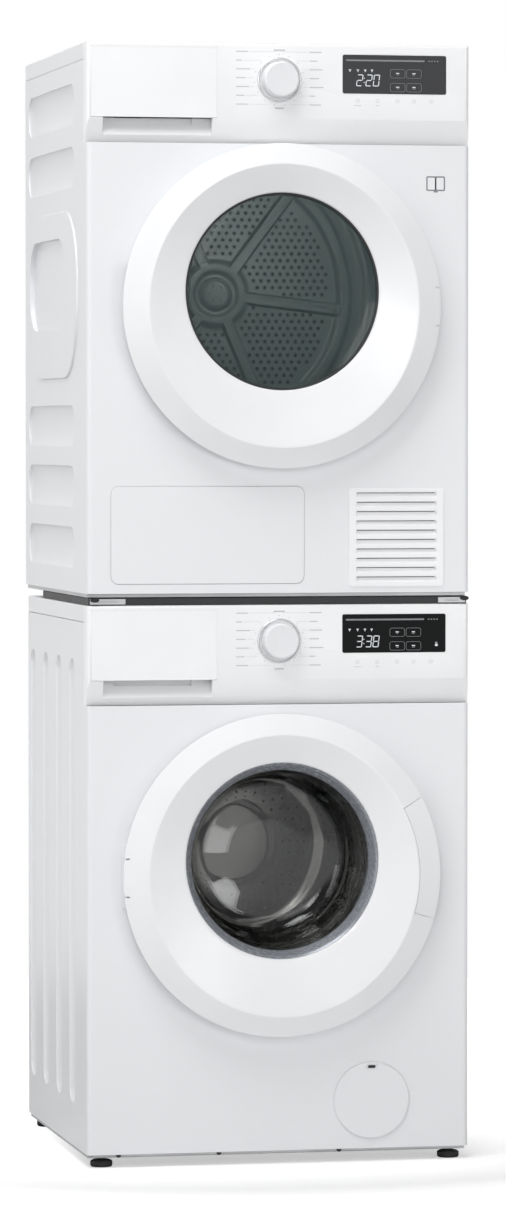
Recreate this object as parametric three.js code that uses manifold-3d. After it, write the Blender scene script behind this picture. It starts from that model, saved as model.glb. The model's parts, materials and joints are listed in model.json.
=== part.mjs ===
// A washing machine with a tumble dryer stacked on it. Millimetres, +Z up, the fronts face -Y.
// The origin is on the floor, in the middle of the stack's width and depth.
import * as THREE from 'three';
import { mergeVertices } from 'three/addons/utils/BufferGeometryUtils.js';
import Module from 'manifold-3d';

const wasm = await Module();
wasm.setup();

// Driving dimensions
const width = 596;
const half = width / 2;
const cabinetHeight = 836;
const dryerDepth = 568;
const washerDepth = 545;
const footHeight = 20;
const stackGap = 18;
const doorProud = 42;
const overallDepth = dryerDepth + doorProud;
const frontY = doorProud - overallDepth / 2;

const roundSides = 36;
const innerSides = 24;
const sheet = 2.5;
const cornerRadius = 8;
const wrap = 13;
const gap = 0.4;
const worktopHeight = 26;
const fasciaHeight = 152;
const fasciaDepth = 28;
const bandHeight = 38;
const bandSetBack = 12;
const plinthDrop = 6;
const plinthSetBack = 14;
const shoulderZ = cabinetHeight - fasciaHeight;
const bodyTop = cabinetHeight - worktopHeight - gap;
const footInset = 26;

const rimRadius = 247;
const crestRadiusX = 209;
const crestRadiusZ = 215;
const windowRadius = 150;
const windowRise = 22;
const rimProud = 26;
const windowProud = 24;
const pivotX = 234;
const pivotProud = 20;
const panelHoleRadius = 170;
const washerDoorZ = 424;
const dryerDoorZ = 437;

const drumRadius = 236;
const drumFront = 73;
const drumBack = 373;
const tubRadius = 262;
const tubFront = 48;
const tubBack = 410;
const drumMouth = 160;
const paddleInner = 186;

const dryerDrumRadius = 268;
const dryerDrumZ = 468;
const dryerDrumFront = 36;
const dryerDrumBack = 486;

const slideTop = 800;
const slideBottom = 746;
const slideLeft = -285;
const slideRight = -104;
const slideFront = 7;
const slideWall = 2.5;
const drawerDepth = 235;
const tankDepth = 440;
const drawerFrontLeft = -291;
const drawerFrontRight = -97;
const drawerFrontTop = 829;
const drawerFrontBottom = shoulderZ + bandHeight + gap;

const knobZ = 781;
const knobRadius = 27.5;
const knobRingRadius = 34.5;
const knobProud = 22;

const lever = { from: -16.5, to: 28.5, inner: 213 };
const lockX = 202;
const flap = { x0: -260.8, x1: 38.8, z0: 14.5, z1: 162.8 };
const vent = { x0: 108.8, x1: 257.2, z0: 9.5, z1: 160, pitch: 14.3 };

const filterX = 145;
const filterZ = 74;
const filterRadius = 59.5;
const filterFront = 6;

// Materials
function paint(color, roughness, metalness = 0) {
  return new THREE.MeshStandardMaterial({ color, roughness, metalness });
}
const enamel = paint(0xeceef0, 0.35);
const whitePlastic = paint(0xf1f2f4, 0.4);
const greyPlastic = paint(0xb9bcc0, 0.5);
const darkPlastic = paint(0x2b2c2e, 0.6);
const displayGlass = paint(0x2a2b2e, 0.1);
const smokedGlass = paint(0x4b5654, 0.05);
const clearGlass = paint(0xb8c4c6, 0.05);
const gunmetal = paint(0x4a4d52, 0.3);
const steel = paint(0xc3c6ca, 0.3, 1);
const galvanised = paint(0xa9adb1, 0.5, 1);
const aluminium = paint(0xb7babd, 0.45, 1);
const rubber = paint(0x252526, 0.8);
const greyRubber = paint(0x77797c, 0.7);
const concrete = paint(0x8d8c88, 0.95);
const copperBrown = paint(0x7c5a44, 0.5);

// Solids: closed geometry in, manifold solids out
function solid(geometry) {
  const clean = geometry.clone();
  clean.deleteAttribute('normal');
  clean.deleteAttribute('uv');
  const merged = mergeVertices(clean, 1e-4);
  const vertProperties = new Float32Array(merged.attributes.position.array);
  const triVerts = new Uint32Array(merged.index.array);
  return new wasm.Manifold(new wasm.Mesh({ numProp: 3, vertProperties, triVerts }));
}

function mesh(name, body, material) {
  const data = body.getMesh();
  const geometry = new THREE.BufferGeometry();
  geometry.setAttribute('position', new THREE.BufferAttribute(new Float32Array(data.vertProperties), 3));
  geometry.setIndex(new THREE.BufferAttribute(new Uint32Array(data.triVerts), 1));
  geometry.computeVertexNormals();
  const item = new THREE.Mesh(geometry, material);
  item.name = name;
  return item;
}

function block(x0, x1, y0, y1, z0, z1) {
  const geometry = new THREE.BoxGeometry(x1 - x0, y1 - y0, z1 - z0);
  geometry.translate((x0 + x1) / 2, (y0 + y1) / 2, (z0 + z1) / 2);
  return solid(geometry);
}

function rodY(x, z, radius, y0, y1, sides = 20) {
  const geometry = new THREE.CylinderGeometry(radius, radius, y1 - y0, sides);
  geometry.translate(x, (y0 + y1) / 2, z);
  return solid(geometry);
}

function rodZ(x, y, radius, z0, z1, sides = 12) {
  const geometry = new THREE.CylinderGeometry(radius, radius, z1 - z0, sides);
  geometry.rotateX(Math.PI / 2);
  geometry.translate(x, y, (z0 + z1) / 2);
  return solid(geometry);
}

// A flat outline in x and z, from y0 back to y1
function plateY(shape, y0, y1, curveSegments = 6) {
  const geometry = new THREE.ExtrudeGeometry(shape, { depth: y1 - y0, bevelEnabled: false, curveSegments });
  geometry.rotateX(Math.PI / 2);
  geometry.translate(0, y1, 0);
  return solid(geometry);
}

// A flat outline in x and y, from z0 up to z1
function plateZ(shape, z0, z1, curveSegments = 6) {
  const geometry = new THREE.ExtrudeGeometry(shape, { depth: z1 - z0, bevelEnabled: false, curveSegments });
  geometry.translate(0, 0, z0);
  return solid(geometry);
}

// A flat outline in y and z, from x0 to x1
function plateX(shape, x0, x1, curveSegments = 6) {
  const geometry = new THREE.ExtrudeGeometry(shape, { depth: x1 - x0, bevelEnabled: false, curveSegments });
  geometry.applyMatrix4(new THREE.Matrix4().set(0, 0, 1, x0, 1, 0, 0, 0, 0, 1, 0, 0, 0, 0, 0, 1));
  return solid(geometry);
}

function outline(points) {
  return new THREE.Shape(points.map(([a, b]) => new THREE.Vector2(a, b)));
}

function roundedRect(x0, x1, z0, z1, radius) {
  const shape = new THREE.Shape();
  shape.absarc(x1 - radius, z1 - radius, radius, 0, Math.PI / 2);
  shape.absarc(x0 + radius, z1 - radius, radius, Math.PI / 2, Math.PI);
  shape.absarc(x0 + radius, z0 + radius, radius, Math.PI, 1.5 * Math.PI);
  shape.absarc(x1 - radius, z0 + radius, radius, 1.5 * Math.PI, 2 * Math.PI);
  return shape;
}

// One ellipse of a loft around the Y direction; rise moves its centre up
function ring(y, radius, { radiusZ = radius, rise = 0 } = {}) {
  return { y, radius, radiusZ, rise };
}

// Skins a list of rings: closed on itself as a tube wall, or capped at both ends
function loft(rings, { sides = 64, closed = true } = {}) {
  const positions = [];
  const index = [];
  for (const r of rings) {
    for (let i = 0; i < sides; i += 1) {
      const turn = (2 * Math.PI * i) / sides;
      positions.push(r.radius * Math.cos(turn), r.y, r.rise + r.radiusZ * Math.sin(turn));
    }
  }
  const steps = closed ? rings.length : rings.length - 1;
  for (let k = 0; k < steps; k += 1) {
    const a = k * sides;
    const b = ((k + 1) % rings.length) * sides;
    for (let i = 0; i < sides; i += 1) {
      const j = (i + 1) % sides;
      index.push(a + i, b + i, a + j, a + j, b + i, b + j);
    }
  }
  if (!closed) {
    const ends = [[rings[0], 0], [rings[rings.length - 1], (rings.length - 1) * sides]];
    ends.forEach(([r, start], end) => {
      const centre = positions.length / 3;
      positions.push(0, r.y, r.rise);
      for (let i = 0; i < sides; i += 1) {
        const j = (i + 1) % sides;
        const fan = end === 0 ? [start + i, start + j, centre] : [start + j, start + i, centre];
        index.push(...fan);
      }
    });
  }
  const geometry = new THREE.BufferGeometry();
  geometry.setAttribute('position', new THREE.Float32BufferAttribute(positions, 3));
  geometry.setIndex(signedVolume(positions, index) < 0 ? flipped(index) : index);
  return solid(geometry);
}

function signedVolume(positions, index) {
  let total = 0;
  for (let t = 0; t < index.length; t += 3) {
    const [a, b, c] = [0, 1, 2].map((k) => new THREE.Vector3().fromArray(positions, 3 * index[t + k]));
    total += a.dot(b.cross(c)) / 6;
  }
  return total;
}

function flipped(index) {
  const reversed = [];
  for (let t = 0; t < index.length; t += 3) {
    reversed.push(index[t], index[t + 2], index[t + 1]);
  }
  return reversed;
}

// A wall of revolution about a line along Y, from [y, radius] pairs that close on themselves
function turned(pairs, sides = 64) {
  return loft(pairs.map(([y, radius]) => ring(y, radius)), { sides });
}

// A pie slice around the Y direction, to cut a door's rim with; angles in degrees from +X
function wedge(from, to, inner, outer, y0, y1) {
  const shape = new THREE.Shape();
  const a = THREE.MathUtils.degToRad(from);
  const b = THREE.MathUtils.degToRad(to);
  shape.absarc(0, 0, outer, a, b, false);
  shape.absarc(0, 0, inner, b, a, true);
  return plateY(shape, y0, y1, 8);
}

// The outline of a belt run round two pulleys, as a closed shape grown by a margin
function beltOutline(big, small, margin) {
  const dx = small.x - big.x;
  const dz = small.z - big.z;
  const along = Math.atan2(dz, dx);
  const lean = Math.acos((big.radius - small.radius) / Math.hypot(dx, dz));
  const shape = new THREE.Shape();
  shape.absarc(big.x, big.z, big.radius + margin, along + lean, along - lean + 2 * Math.PI, false);
  shape.absarc(small.x, small.z, small.radius + margin, along - lean, along + lean, false);
  return shape;
}

function belt(big, small, thickness, y0, y1) {
  const clear = 1.6;
  const outside = plateY(beltOutline(big, small, clear + thickness), y0, y1, 14);
  const inside = plateY(beltOutline(big, small, clear), y0 - 1, y1 + 1, 14);
  return outside.subtract(inside);
}

// Cabinet pieces shared by both machines, in each machine's own frame:
// y runs back from the front plane, z runs up from the cabinet's bottom edge
function sidePanel(side, depth) {
  const shape = outline([
    [wrap + gap, 0],
    [depth, 0],
    [depth, bodyTop],
    [fasciaDepth + gap, bodyTop],
    [fasciaDepth + gap, shoulderZ - gap],
    [wrap + gap, shoulderZ - gap],
  ]);
  return side < 0 ? plateX(shape, -half, -half + sheet) : plateX(shape, half - sheet, half);
}

function frontSheet() {
  const r = cornerRadius;
  const shape = new THREE.Shape();
  shape.moveTo(-half, wrap);
  shape.absarc(-half + r, r, r, Math.PI, 1.5 * Math.PI, false);
  shape.absarc(half - r, r, r, 1.5 * Math.PI, 2 * Math.PI, false);
  shape.lineTo(half, wrap);
  shape.lineTo(half - sheet, wrap);
  shape.absarc(half - r, r, r - sheet, 2 * Math.PI, 1.5 * Math.PI, true);
  shape.absarc(-half + r, r, r - sheet, 1.5 * Math.PI, Math.PI, true);
  shape.lineTo(-half + sheet, wrap);
  return plateZ(shape, 0, shoulderZ - gap);
}

function worktop(depth) {
  const top = block(-half, half, fasciaDepth + gap, depth, cabinetHeight - worktopHeight, cabinetHeight);
  const rim = 6;
  const hollow = block(
    -half + rim, half - rim, fasciaDepth + rim, depth - rim, 0, cabinetHeight - 5);
  return top.subtract(hollow);
}

function backPanel(depth) {
  const inner = half - sheet - gap;
  return block(-inner, inner, depth - sheet, depth, 2, bodyTop);
}

function baseTray(depth) {
  const inner = half - sheet - gap;
  const floor = 3;
  const tray = block(-inner, inner, plinthSetBack, depth - sheet - gap, -plinthDrop, 30);
  return tray.subtract(block(
    -inner + floor, inner - floor, plinthSetBack + floor, depth - sheet - gap - floor,
    floor - plinthDrop, 31));
}

// The moulded control panel: a flat face over a band that leans in, open at the back
function fascia() {
  const wall = 3;
  const face = outline([
    [bandSetBack, shoulderZ],
    [0, shoulderZ + bandHeight],
    [0, cabinetHeight - 4],
    [1.2, cabinetHeight - 1.2],
    [4, cabinetHeight],
    [fasciaDepth, cabinetHeight],
    [fasciaDepth, shoulderZ],
  ]);
  const hollow = outline([
    [bandSetBack + wall, shoulderZ + wall],
    [wall, shoulderZ + bandHeight],
    [wall, cabinetHeight - wall - 2],
    [fasciaDepth + 1, cabinetHeight - wall - 2],
    [fasciaDepth + 1, shoulderZ + wall],
  ]);
  const cup = block(-276, -100, wall, fasciaDepth, shoulderZ, shoulderZ + bandHeight);
  const grip = outline([
    [-1, shoulderZ + 4],
    [3, shoulderZ + 6],
    [19, shoulderZ + 26],
    [24, shoulderZ + bandHeight + 1],
    [-1, shoulderZ + bandHeight + 1],
  ]);
  const corners = roundedRect(-half, half, 0, 200, cornerRadius);
  const display = block(98.5, 261.3, -1, 1.8, 761.5, 821);
  const slot = block(
    drawerFrontLeft - gap, drawerFrontRight + gap, -1, fasciaDepth + 1,
    shoulderZ + bandHeight, drawerFrontTop + gap);
  return plateX(face, -half, half)
    .subtract(plateX(hollow, -half + wall, half - wall))
    .add(cup)
    .intersect(plateZ(corners, shoulderZ, cabinetHeight))
    .subtract(plateX(grip, -272.6, -104))
    .subtract(slot)
    .subtract(display)
    .subtract(rodY(0, knobZ, 6, -1, 8))
    .add(knobCollar());
}

// Drawer and tank share one front; its lower edge is left free behind for the fingers
function slidingFront() {
  const slab = block(drawerFrontLeft, drawerFrontRight, 0, 4, drawerFrontBottom, drawerFrontTop);
  const boss = block(slideLeft + 6, slideRight - 6, 3, 8, slideBottom + 2, slideTop - 2);
  return slab.add(boss);
}

function tray() {
  const wall = slideWall;
  const back = slideFront + drawerDepth;
  const body = block(slideLeft, slideRight, slideFront, back, slideBottom, slideTop);
  const cells = [[slideLeft + wall, -226], [-226 + wall, -164], [-164 + wall, slideRight - wall]];
  return cells.reduce((rest, [x0, x1]) => rest.subtract(block(
    x0, x1, slideFront + wall, back - wall, slideBottom + wall, slideTop + 1)), body);
}

function waterTank() {
  const wall = slideWall;
  const back = slideFront + tankDepth;
  const body = block(slideLeft, slideRight, slideFront, back, slideBottom, slideTop);
  const inside = block(
    slideLeft + wall, slideRight - wall, slideFront + wall, back - wall,
    slideBottom + wall, slideTop - wall);
  const spout = rodZ(-150, back - 45, 16, slideTop - 6, slideTop + 1);
  return body.subtract(inside).subtract(spout);
}

function knob() {
  const body = loft([
    ring(-knobProud, knobRadius - 2.5),
    ring(-knobProud + 1, knobRadius - 0.8),
    ring(-knobProud + 3, knobRadius),
    ring(-1, knobRadius + 0.6),
  ], { sides: 24, closed: false });
  return body.add(rodY(0, 0, 5, -2, 12, 20));
}

// The raised collar of the fascia round the knob
function knobCollar() {
  return turned([
    [1, knobRingRadius], [-3, knobRingRadius], [-4, knobRingRadius - 1.4], [-3.6, 30], [1, 29.5],
  ], 16).translate([0, 0, knobZ]);
}

// Door pieces, in a frame at the door's centre on the cabinet's front plane
function doorSkin() {
  return [
    ring(-4, rimRadius - 7),
    ring(-rimProud + 2, rimRadius - 0.6),
    ring(-rimProud - 1, rimRadius),
    ring(-doorProud + 1.2, crestRadiusX + 3, { radiusZ: crestRadiusZ + 3 }),
    ring(-doorProud, crestRadiusX, { radiusZ: crestRadiusZ }),
    ring(-doorProud + 1.2, crestRadiusX - 3, { radiusZ: crestRadiusZ - 3 }),
    ring(-windowProud - 2, windowRadius + 2, { rise: windowRise }),
    ring(-windowProud, windowRadius, { rise: windowRise }),
    ring(-4, windowRadius + 4, { rise: windowRise }),
  ];
}

function doorHollow() {
  const wall = 3;
  return [
    ring(0, rimRadius - 7 - wall),
    ring(-rimProud, rimRadius - wall),
    ring(-doorProud + wall + 1, crestRadiusX, { radiusZ: crestRadiusZ }),
    ring(-windowProud + wall, windowRadius + 9, { rise: windowRise }),
    ring(0, windowRadius + 9, { rise: windowRise }),
  ];
}

const lugHalf = 21;
const earInner = 24;
const earOuter = 34;

// side is the side of the hinge: -1 left, 1 right
function doorShell(side, pocket, pocketWall) {
  const skin = loft(doorSkin(), { sides: roundSides });
  const hollow = loft(doorHollow(), { sides: roundSides });
  const x = side * pivotX;
  const lug = block(x - 6, x + 6, -34, -pivotProud + 6, -lugHalf, lugHalf).intersect(skin);
  let shell = skin.subtract(pocketWall ? hollow.subtract(pocketWall) : hollow).add(lug);
  shell = shell.subtract(rodZ(x, -pivotProud, 3, -60, 60));
  const notchInner = Math.min(x, side * (pivotX - 14));
  const notchOuter = Math.max(x, side * (pivotX - 14));
  for (const [z0, z1] of [[earInner - 2.5, earOuter + 2.5], [-earOuter - 2.5, -earInner + 2.5]]) {
    const inside = block(notchInner, notchOuter, -31, 0, z0, z1);
    const outside = side < 0 ? block(-260, x, -31, 0, z0, z1) : block(x, 260, -31, 0, z0, z1);
    shell = shell.subtract(inside).subtract(outside);
  }
  return shell.subtract(pocket);
}

// The ears stand on the cabinet's front, on one plate, and carry the door's pin
function hingeBracket(side) {
  const x = side * pivotX;
  const plate = block(x - 11, x + 11, -2.6, -0.3, -48, 48);
  let bracket = plate;
  for (const z0 of [earInner, -earOuter]) {
    const neck = block(x - 4, x + 4, -pivotProud, -1, z0, z0 + earOuter - earInner);
    bracket = bracket.add(neck).add(rodZ(x, -pivotProud, 4.6, z0, z0 + earOuter - earInner));
  }
  return bracket.add(rodZ(x, -pivotProud, 2.6, -earOuter - 3, earOuter + 3));
}

function hingeRelief(side) {
  const x = side * pivotX;
  return block(x - 16, x + 16, -12, 1, -54, 54);
}

// The door's inner cover, with a collar that enters the opening
function doorBackRing(side, plug) {
  const rise = windowRise;
  const front = -4 + gap;
  const back = -1.4;
  const body = loft([
    ring(front, 236),
    ring(back, 236),
    ring(back, 166, { rise }),
    ring(plug, 162, { rise }),
    ring(plug, 156, { rise }),
    ring(front, 156, { rise }),
  ], { sides: roundSides });
  return body.subtract(hingeRelief(side));
}

const root = new THREE.Group();
const washer = new THREE.Group();
const dryer = new THREE.Group();
washer.position.set(0, frontY, footHeight);
dryer.position.set(0, frontY, footHeight + cabinetHeight + stackGap);
root.add(washer, dryer);

function addCabinet(machine, prefix, depth, front) {
  machine.add(mesh(`${prefix}_side_left`, sidePanel(-1, depth), enamel));
  machine.add(mesh(`${prefix}_side_right`, sidePanel(1, depth), enamel));
  machine.add(mesh(`${prefix}_front_panel`, front, enamel));
  machine.add(mesh(`${prefix}_worktop`, worktop(depth), enamel));
  machine.add(mesh(`${prefix}_fascia`, fascia(), whitePlastic));
  machine.add(mesh(`${prefix}_display`, block(98.8, 261, -0.3, 1.5, 761.8, 820.7), displayGlass));
}

function addKnob(machine, prefix) {
  const dial = new THREE.Group();
  dial.position.set(0, 0, knobZ);
  dial.add(mesh(`${prefix}_knob`, knob(), whitePlastic));
  machine.add(dial);
}

// Washing machine
const washerWindowZ = washerDoorZ + windowRise;

function washerFront() {
  return frontSheet()
    .subtract(rodY(0, washerWindowZ, panelHoleRadius, -1, 4, roundSides))
    .subtract(block(lockX - 12, lockX + 12, -1, 4, washerDoorZ - 14, washerDoorZ + 14))
    .subtract(rodY(filterX, filterZ, filterRadius - 7, -1, 4, 24));
}

addCabinet(washer, 'washer', washerDepth, washerFront());
addKnob(washer, 'washer');

function washerBase() {
  let tray = baseTray(washerDepth);
  for (const x of [-half + footInset, half - footInset]) {
    for (const y of [footInset, washerDepth - footInset]) {
      tray = tray.subtract(rodZ(x, y, 6.5, -plinthDrop - 1, 0, 16));
    }
  }
  return tray;
}

function washerBack() {
  const inlet = rodY(-200, 740, 13, washerDepth - 5, washerDepth + 20, 16);
  const collar = rodY(-200, 740, 18, washerDepth - 2, washerDepth + 12, 16);
  return backPanel(washerDepth).add(collar).subtract(inlet);
}

function foot() {
  const body = loft([ring(0, 16), ring(2, 17), ring(9, 17), ring(11, 15)], { sides: 16, closed: false });
  const upright = body.rotate([90, 0, 0]);
  return upright.add(rodZ(0, 0, 5.8, 10, 26, 16)).add(rodZ(0, 0, 10, 10, footHeight - plinthDrop - gap, 6));
}

washer.add(mesh('washer_base', washerBase(), galvanised));
washer.add(mesh('washer_back_panel', washerBack(), galvanised));

[-half + footInset, half - footInset].forEach((x, i) => {
  [footInset, washerDepth - footInset].forEach((y, j) => {
    const item = mesh(`washer_foot_${2 * j + i + 1}`, foot(), rubber);
    item.position.set(x, y, -footHeight);
    washer.add(item);
  });
});

washer.add(mesh('washer_detergent_drawer', slidingFront().add(tray()), whitePlastic));

function leverSector() {
  const side = 0.35;
  return wedge(lever.from + side, lever.to - side, lever.inner, 262, -60, 10);
}

function doorHandle() {
  const skin = loft(doorSkin(), { sides: roundSides });
  const plate = skin.subtract(skin.translate([0, 7, 0]));
  return plate.intersect(leverSector()).intersect(wedge(-30, 40, 200, 262, -60, -18));
}

function handlePocket() {
  return wedge(lever.from, lever.to, lever.inner - 2.5, 262, -60, -6.5);
}

function handlePocketWall() {
  return wedge(lever.from - 1, lever.to + 1, lever.inner - 6, 262, -60, -4);
}

const washerDoor = new THREE.Group();
washerDoor.position.z = washerDoorZ;
washer.add(washerDoor);

washerDoor.add(mesh('washer_door_ring', doorShell(-1, handlePocket(), handlePocketWall()), whitePlastic));
washerDoor.add(mesh('washer_door_handle', doorHandle(), whitePlastic));
washerDoor.add(mesh('washer_door_hinge', hingeBracket(-1), galvanised));

function washerBackRing() {
  const hook = block(lockX - 4, lockX + 4, -3, 14, -8, 8);
  const barb = block(lockX - 8, lockX + 4, 9, 14, -8, 8);
  return doorBackRing(-1, 3).add(hook).add(barb);
}

function doorTrim() {
  const rise = windowRise;
  return loft([
    ring(-windowProud + 2, windowRadius - 0.4, { rise }),
    ring(-windowProud + 6, windowRadius - 4, { rise }),
    ring(-7, 138, { rise }),
    ring(-5, 138, { rise }),
    ring(-5, 152.6, { rise }),
    ring(-windowProud + 4, windowRadius + 0.2, { rise }),
  ], { sides: roundSides });
}

function doorBowl() {
  const rise = windowRise;
  return loft([
    ring(-4.6, 152, { rise }),
    ring(0.6, 152, { rise }),
    ring(0.6, 144, { rise }),
    ring(48, 136, { rise }),
    ring(84, 122, { rise }),
    ring(98, 102, { rise }),
    ring(104, 56, { rise }),
    ring(105, 8, { rise }),
    ring(100, 8, { rise }),
    ring(99, 54, { rise }),
    ring(93, 98, { rise }),
    ring(81, 116, { rise }),
    ring(46, 130, { rise }),
    ring(-4.6, 137, { rise }),
  ], { sides: roundSides }).add(rodY(0, rise, 9, 100.2, 104.8, 20));
}

washerDoor.add(mesh('washer_door_back', washerBackRing(), greyPlastic));
washerDoor.add(mesh('washer_door_trim', doorTrim(), gunmetal));
washerDoor.add(mesh('washer_door_bowl', doorBowl(), clearGlass));

const washTurn = new THREE.Group();
washTurn.position.z = washerWindowZ;
washer.add(washTurn);

function gasket() {
  return turned([
    [4, 174], [10, 174], [14, 168], [24, 168], [30, 178], [36, 168], [46, 168],
    [46, 158], [36, 158], [28, 164], [22, 158], [8, 156], [4, 160],
  ], innerSides);
}

function tub() {
  const wall = 5;
  const front = tubFront;
  const back = tubBack;
  const shell = turned([
    [front, 164], [front, tubRadius - 8], [front + 8, tubRadius],
    [back - 30, tubRadius], [back, tubRadius - 30], [back, 70],
    [back + 22, 40], [back + 22, 16], [back - 16, 16],
    [back - 16, tubRadius - 34], [back - 34, tubRadius - wall],
    [front + 12, tubRadius - wall], [front + wall, tubRadius - 12], [front + wall, 164],
  ], innerSides);
  return shell.subtract(rodY(60, -tubRadius + 4, 18, 120, 130, 12));
}

// The drum's wall, with its front dished in to the mouth
function drumShell() {
  const t = 2;
  return turned([
    [drumBack, drumRadius], [drumFront, drumRadius], [drumFront - 4, 214], [drumFront - 10, 190],
    [drumFront - 14, drumMouth], [drumFront - 12, drumMouth], [drumFront - 8, 190], [drumFront - 2, 214 - t],
    [drumFront + t, drumRadius - t], [drumBack, drumRadius - t],
  ], roundSides);
}

// The drum's back with its three-armed spider and shaft
function drumBackPlate() {
  const disc = loft([
    ring(drumBack + 0.4, drumRadius),
    ring(drumBack + 3, drumRadius),
    ring(drumBack + 3, 60),
    ring(drumBack + 10, 40),
  ], { sides: roundSides, closed: false });
  let plate = disc.add(rodY(0, 0, 12, drumBack + 8, tubBack + 60, 16));
  for (const turn of [30, 150, 270]) {
    plate = plate.add(block(20, 215, drumBack + 2, drumBack + 11, -11, 11).rotate([0, turn, 0]));
  }
  return plate;
}

function drumPulley() {
  const y0 = tubBack + 34;
  const rim = turned([[y0, 138], [y0 + 20, 138], [y0 + 20, 131], [y0, 131]], 32);
  let wheel = rim.add(turned([[y0, 30], [y0 + 20, 30], [y0 + 20, 12.5], [y0, 12.5]], 16));
  for (let i = 0; i < 5; i += 1) {
    wheel = wheel.add(block(26, 133, y0 + 5, y0 + 15, -8, 8).rotate([0, 72 * i + 90, 0]));
  }
  return wheel;
}

function paddle(turn) {
  const shape = new THREE.Shape();
  shape.moveTo(-32, -drumRadius + 3);
  shape.quadraticCurveTo(-14, -drumRadius + 12, -11, -paddleInner - 8);
  shape.quadraticCurveTo(-8, -paddleInner, 0, -paddleInner);
  shape.quadraticCurveTo(8, -paddleInner, 11, -paddleInner - 8);
  shape.quadraticCurveTo(14, -drumRadius + 12, 32, -drumRadius + 3);
  const round = rodY(0, 0, drumRadius - 3.4, 0, 500, 80);
  return plateY(shape, drumFront + 14, drumBack - 8, 5).intersect(round).rotate([0, turn, 0]);
}

washTurn.add(mesh('washer_gasket', gasket(), greyRubber));
washTurn.add(mesh('washer_tub', tub(), greyPlastic));
washTurn.add(mesh('washer_drum_shell', drumShell(), steel));
washTurn.add(mesh('washer_drum_back', drumBackPlate(), steel));
washTurn.add(mesh('washer_drum_pulley', drumPulley(), aluminium));
[0, 120, 240].forEach((turn, i) => {
  washTurn.add(mesh(`washer_paddle_${i + 1}`, paddle(turn), greyPlastic));
});

const washMotor = { x: 0, z: -330, radius: 11 };
const washPulley = { x: 0, z: 0, radius: 138 };

function motor(x, z, radius, y0, y1) {
  let body = rodY(x, z, radius, y0, y1, 20);
  body = body.add(block(x - radius + 4, x + radius - 4, y0 + 20, y1 - 20, z - radius - 6, z));
  return body.add(rodY(x, z, 7, y1 - 1, y1 + 12, 16));
}

washTurn.add(mesh('washer_motor', motor(washMotor.x, washMotor.z, 52, 250, tubBack + 20), copperBrown));
const washMotorPulley = rodY(washMotor.x, washMotor.z, washMotor.radius, tubBack + 33, tubBack + 55, 16);
washTurn.add(mesh('washer_motor_pulley', washMotorPulley, steel));
washTurn.add(mesh('washer_belt', belt(washPulley, washMotor, 3, tubBack + 38, tubBack + 50), rubber));

// A horseshoe weight on the tub's front
function counterweight() {
  const shape = new THREE.Shape();
  shape.absarc(0, 0, 232, THREE.MathUtils.degToRad(-35), THREE.MathUtils.degToRad(215), false);
  shape.absarc(0, 0, 182, THREE.MathUtils.degToRad(215), THREE.MathUtils.degToRad(-35), true);
  return plateY(shape, 14, tubFront - 0.5, 10);
}

washTurn.add(mesh('washer_counterweight', counterweight(), concrete));

function pump() {
  const housing = rodY(filterX, filterZ, 44, filterFront + 4, 90, 20);
  const motorCan = rodY(filterX, filterZ, 34, 88, 150, 20);
  return housing.add(motorCan).subtract(rodY(filterX, filterZ, 37, filterFront, 40, 20));
}

function filterKnob() {
  const disc = rodY(filterX, filterZ, 36, 12, 26, 20);
  const grip = block(filterX - 30, filterX + 30, filterFront - 2, 13, filterZ - 6, filterZ + 6);
  return disc.add(rodY(filterX, filterZ, 20, 25, 39, 16)).add(grip);
}

function filterCover() {
  const disc = loft([
    ring(-0.3, filterRadius),
    ring(-2.4, filterRadius),
    ring(-3.3, filterRadius - 1.2),
  ], { sides: 32, closed: false });
  const tab = block(-7, 7, -1, 4, 44, 49);
  return disc.subtract(block(-9, 9, -5, -1.6, 49, 55)).add(tab).translate([filterX, 0, filterZ]);
}

washer.add(mesh('washer_pump', pump(), greyPlastic));
washer.add(mesh('washer_filter_knob', filterKnob(), greyPlastic));
washer.add(mesh('washer_filter_cover', filterCover(), enamel));

// The stacking frame lies on the washer's worktop and carries the dryer's base
function stackingFrame() {
  const top = cabinetHeight + stackGap - plinthDrop - 0.3;
  const outer = block(-half + 3, half - 3, 4, 420, cabinetHeight + 0.3, top);
  const inner = block(-half + 30, half - 30, 40, 421, cabinetHeight - 1, cabinetHeight + stackGap);
  return outer.subtract(inner);
}

washer.add(mesh('stacking_frame', stackingFrame(), darkPlastic));

// Tumble dryer
const dryerWindowZ = dryerDoorZ + windowRise;

function dryerFront() {
  const hatch = roundedRect(flap.x0 - 0.8, flap.x1 + 0.8, flap.z0 - 0.8, flap.z1 + 0.8, 12.8);
  return frontSheet()
    .subtract(rodY(0, dryerWindowZ, panelHoleRadius, -1, 4, roundSides))
    .subtract(plateY(hatch, -1, 4))
    .subtract(block(vent.x0 + 5, vent.x1 - 5, -1, 4, vent.z0 + 5, vent.z1 - 5));
}

addCabinet(dryer, 'dryer', dryerDepth, dryerFront());
addKnob(dryer, 'dryer');
dryer.add(mesh('dryer_base', baseTray(dryerDepth), galvanised));
dryer.add(mesh('dryer_back_panel', backPanel(dryerDepth), galvanised));

dryer.add(mesh('dryer_water_tank', slidingFront().add(waterTank()), whitePlastic));

const dryerDoor = new THREE.Group();
dryerDoor.position.z = dryerDoorZ;
dryer.add(dryerDoor);

function gripPocket() {
  return wedge(166, 200, 222, 262, -19, 4);
}

function gripPocketWall() {
  return wedge(164, 202, 219, 262, -22, 4);
}

function dryerBackRing() {
  return doorBackRing(1, 18).subtract(wedge(165, 201, 219, 262, -19, 4));
}

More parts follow.
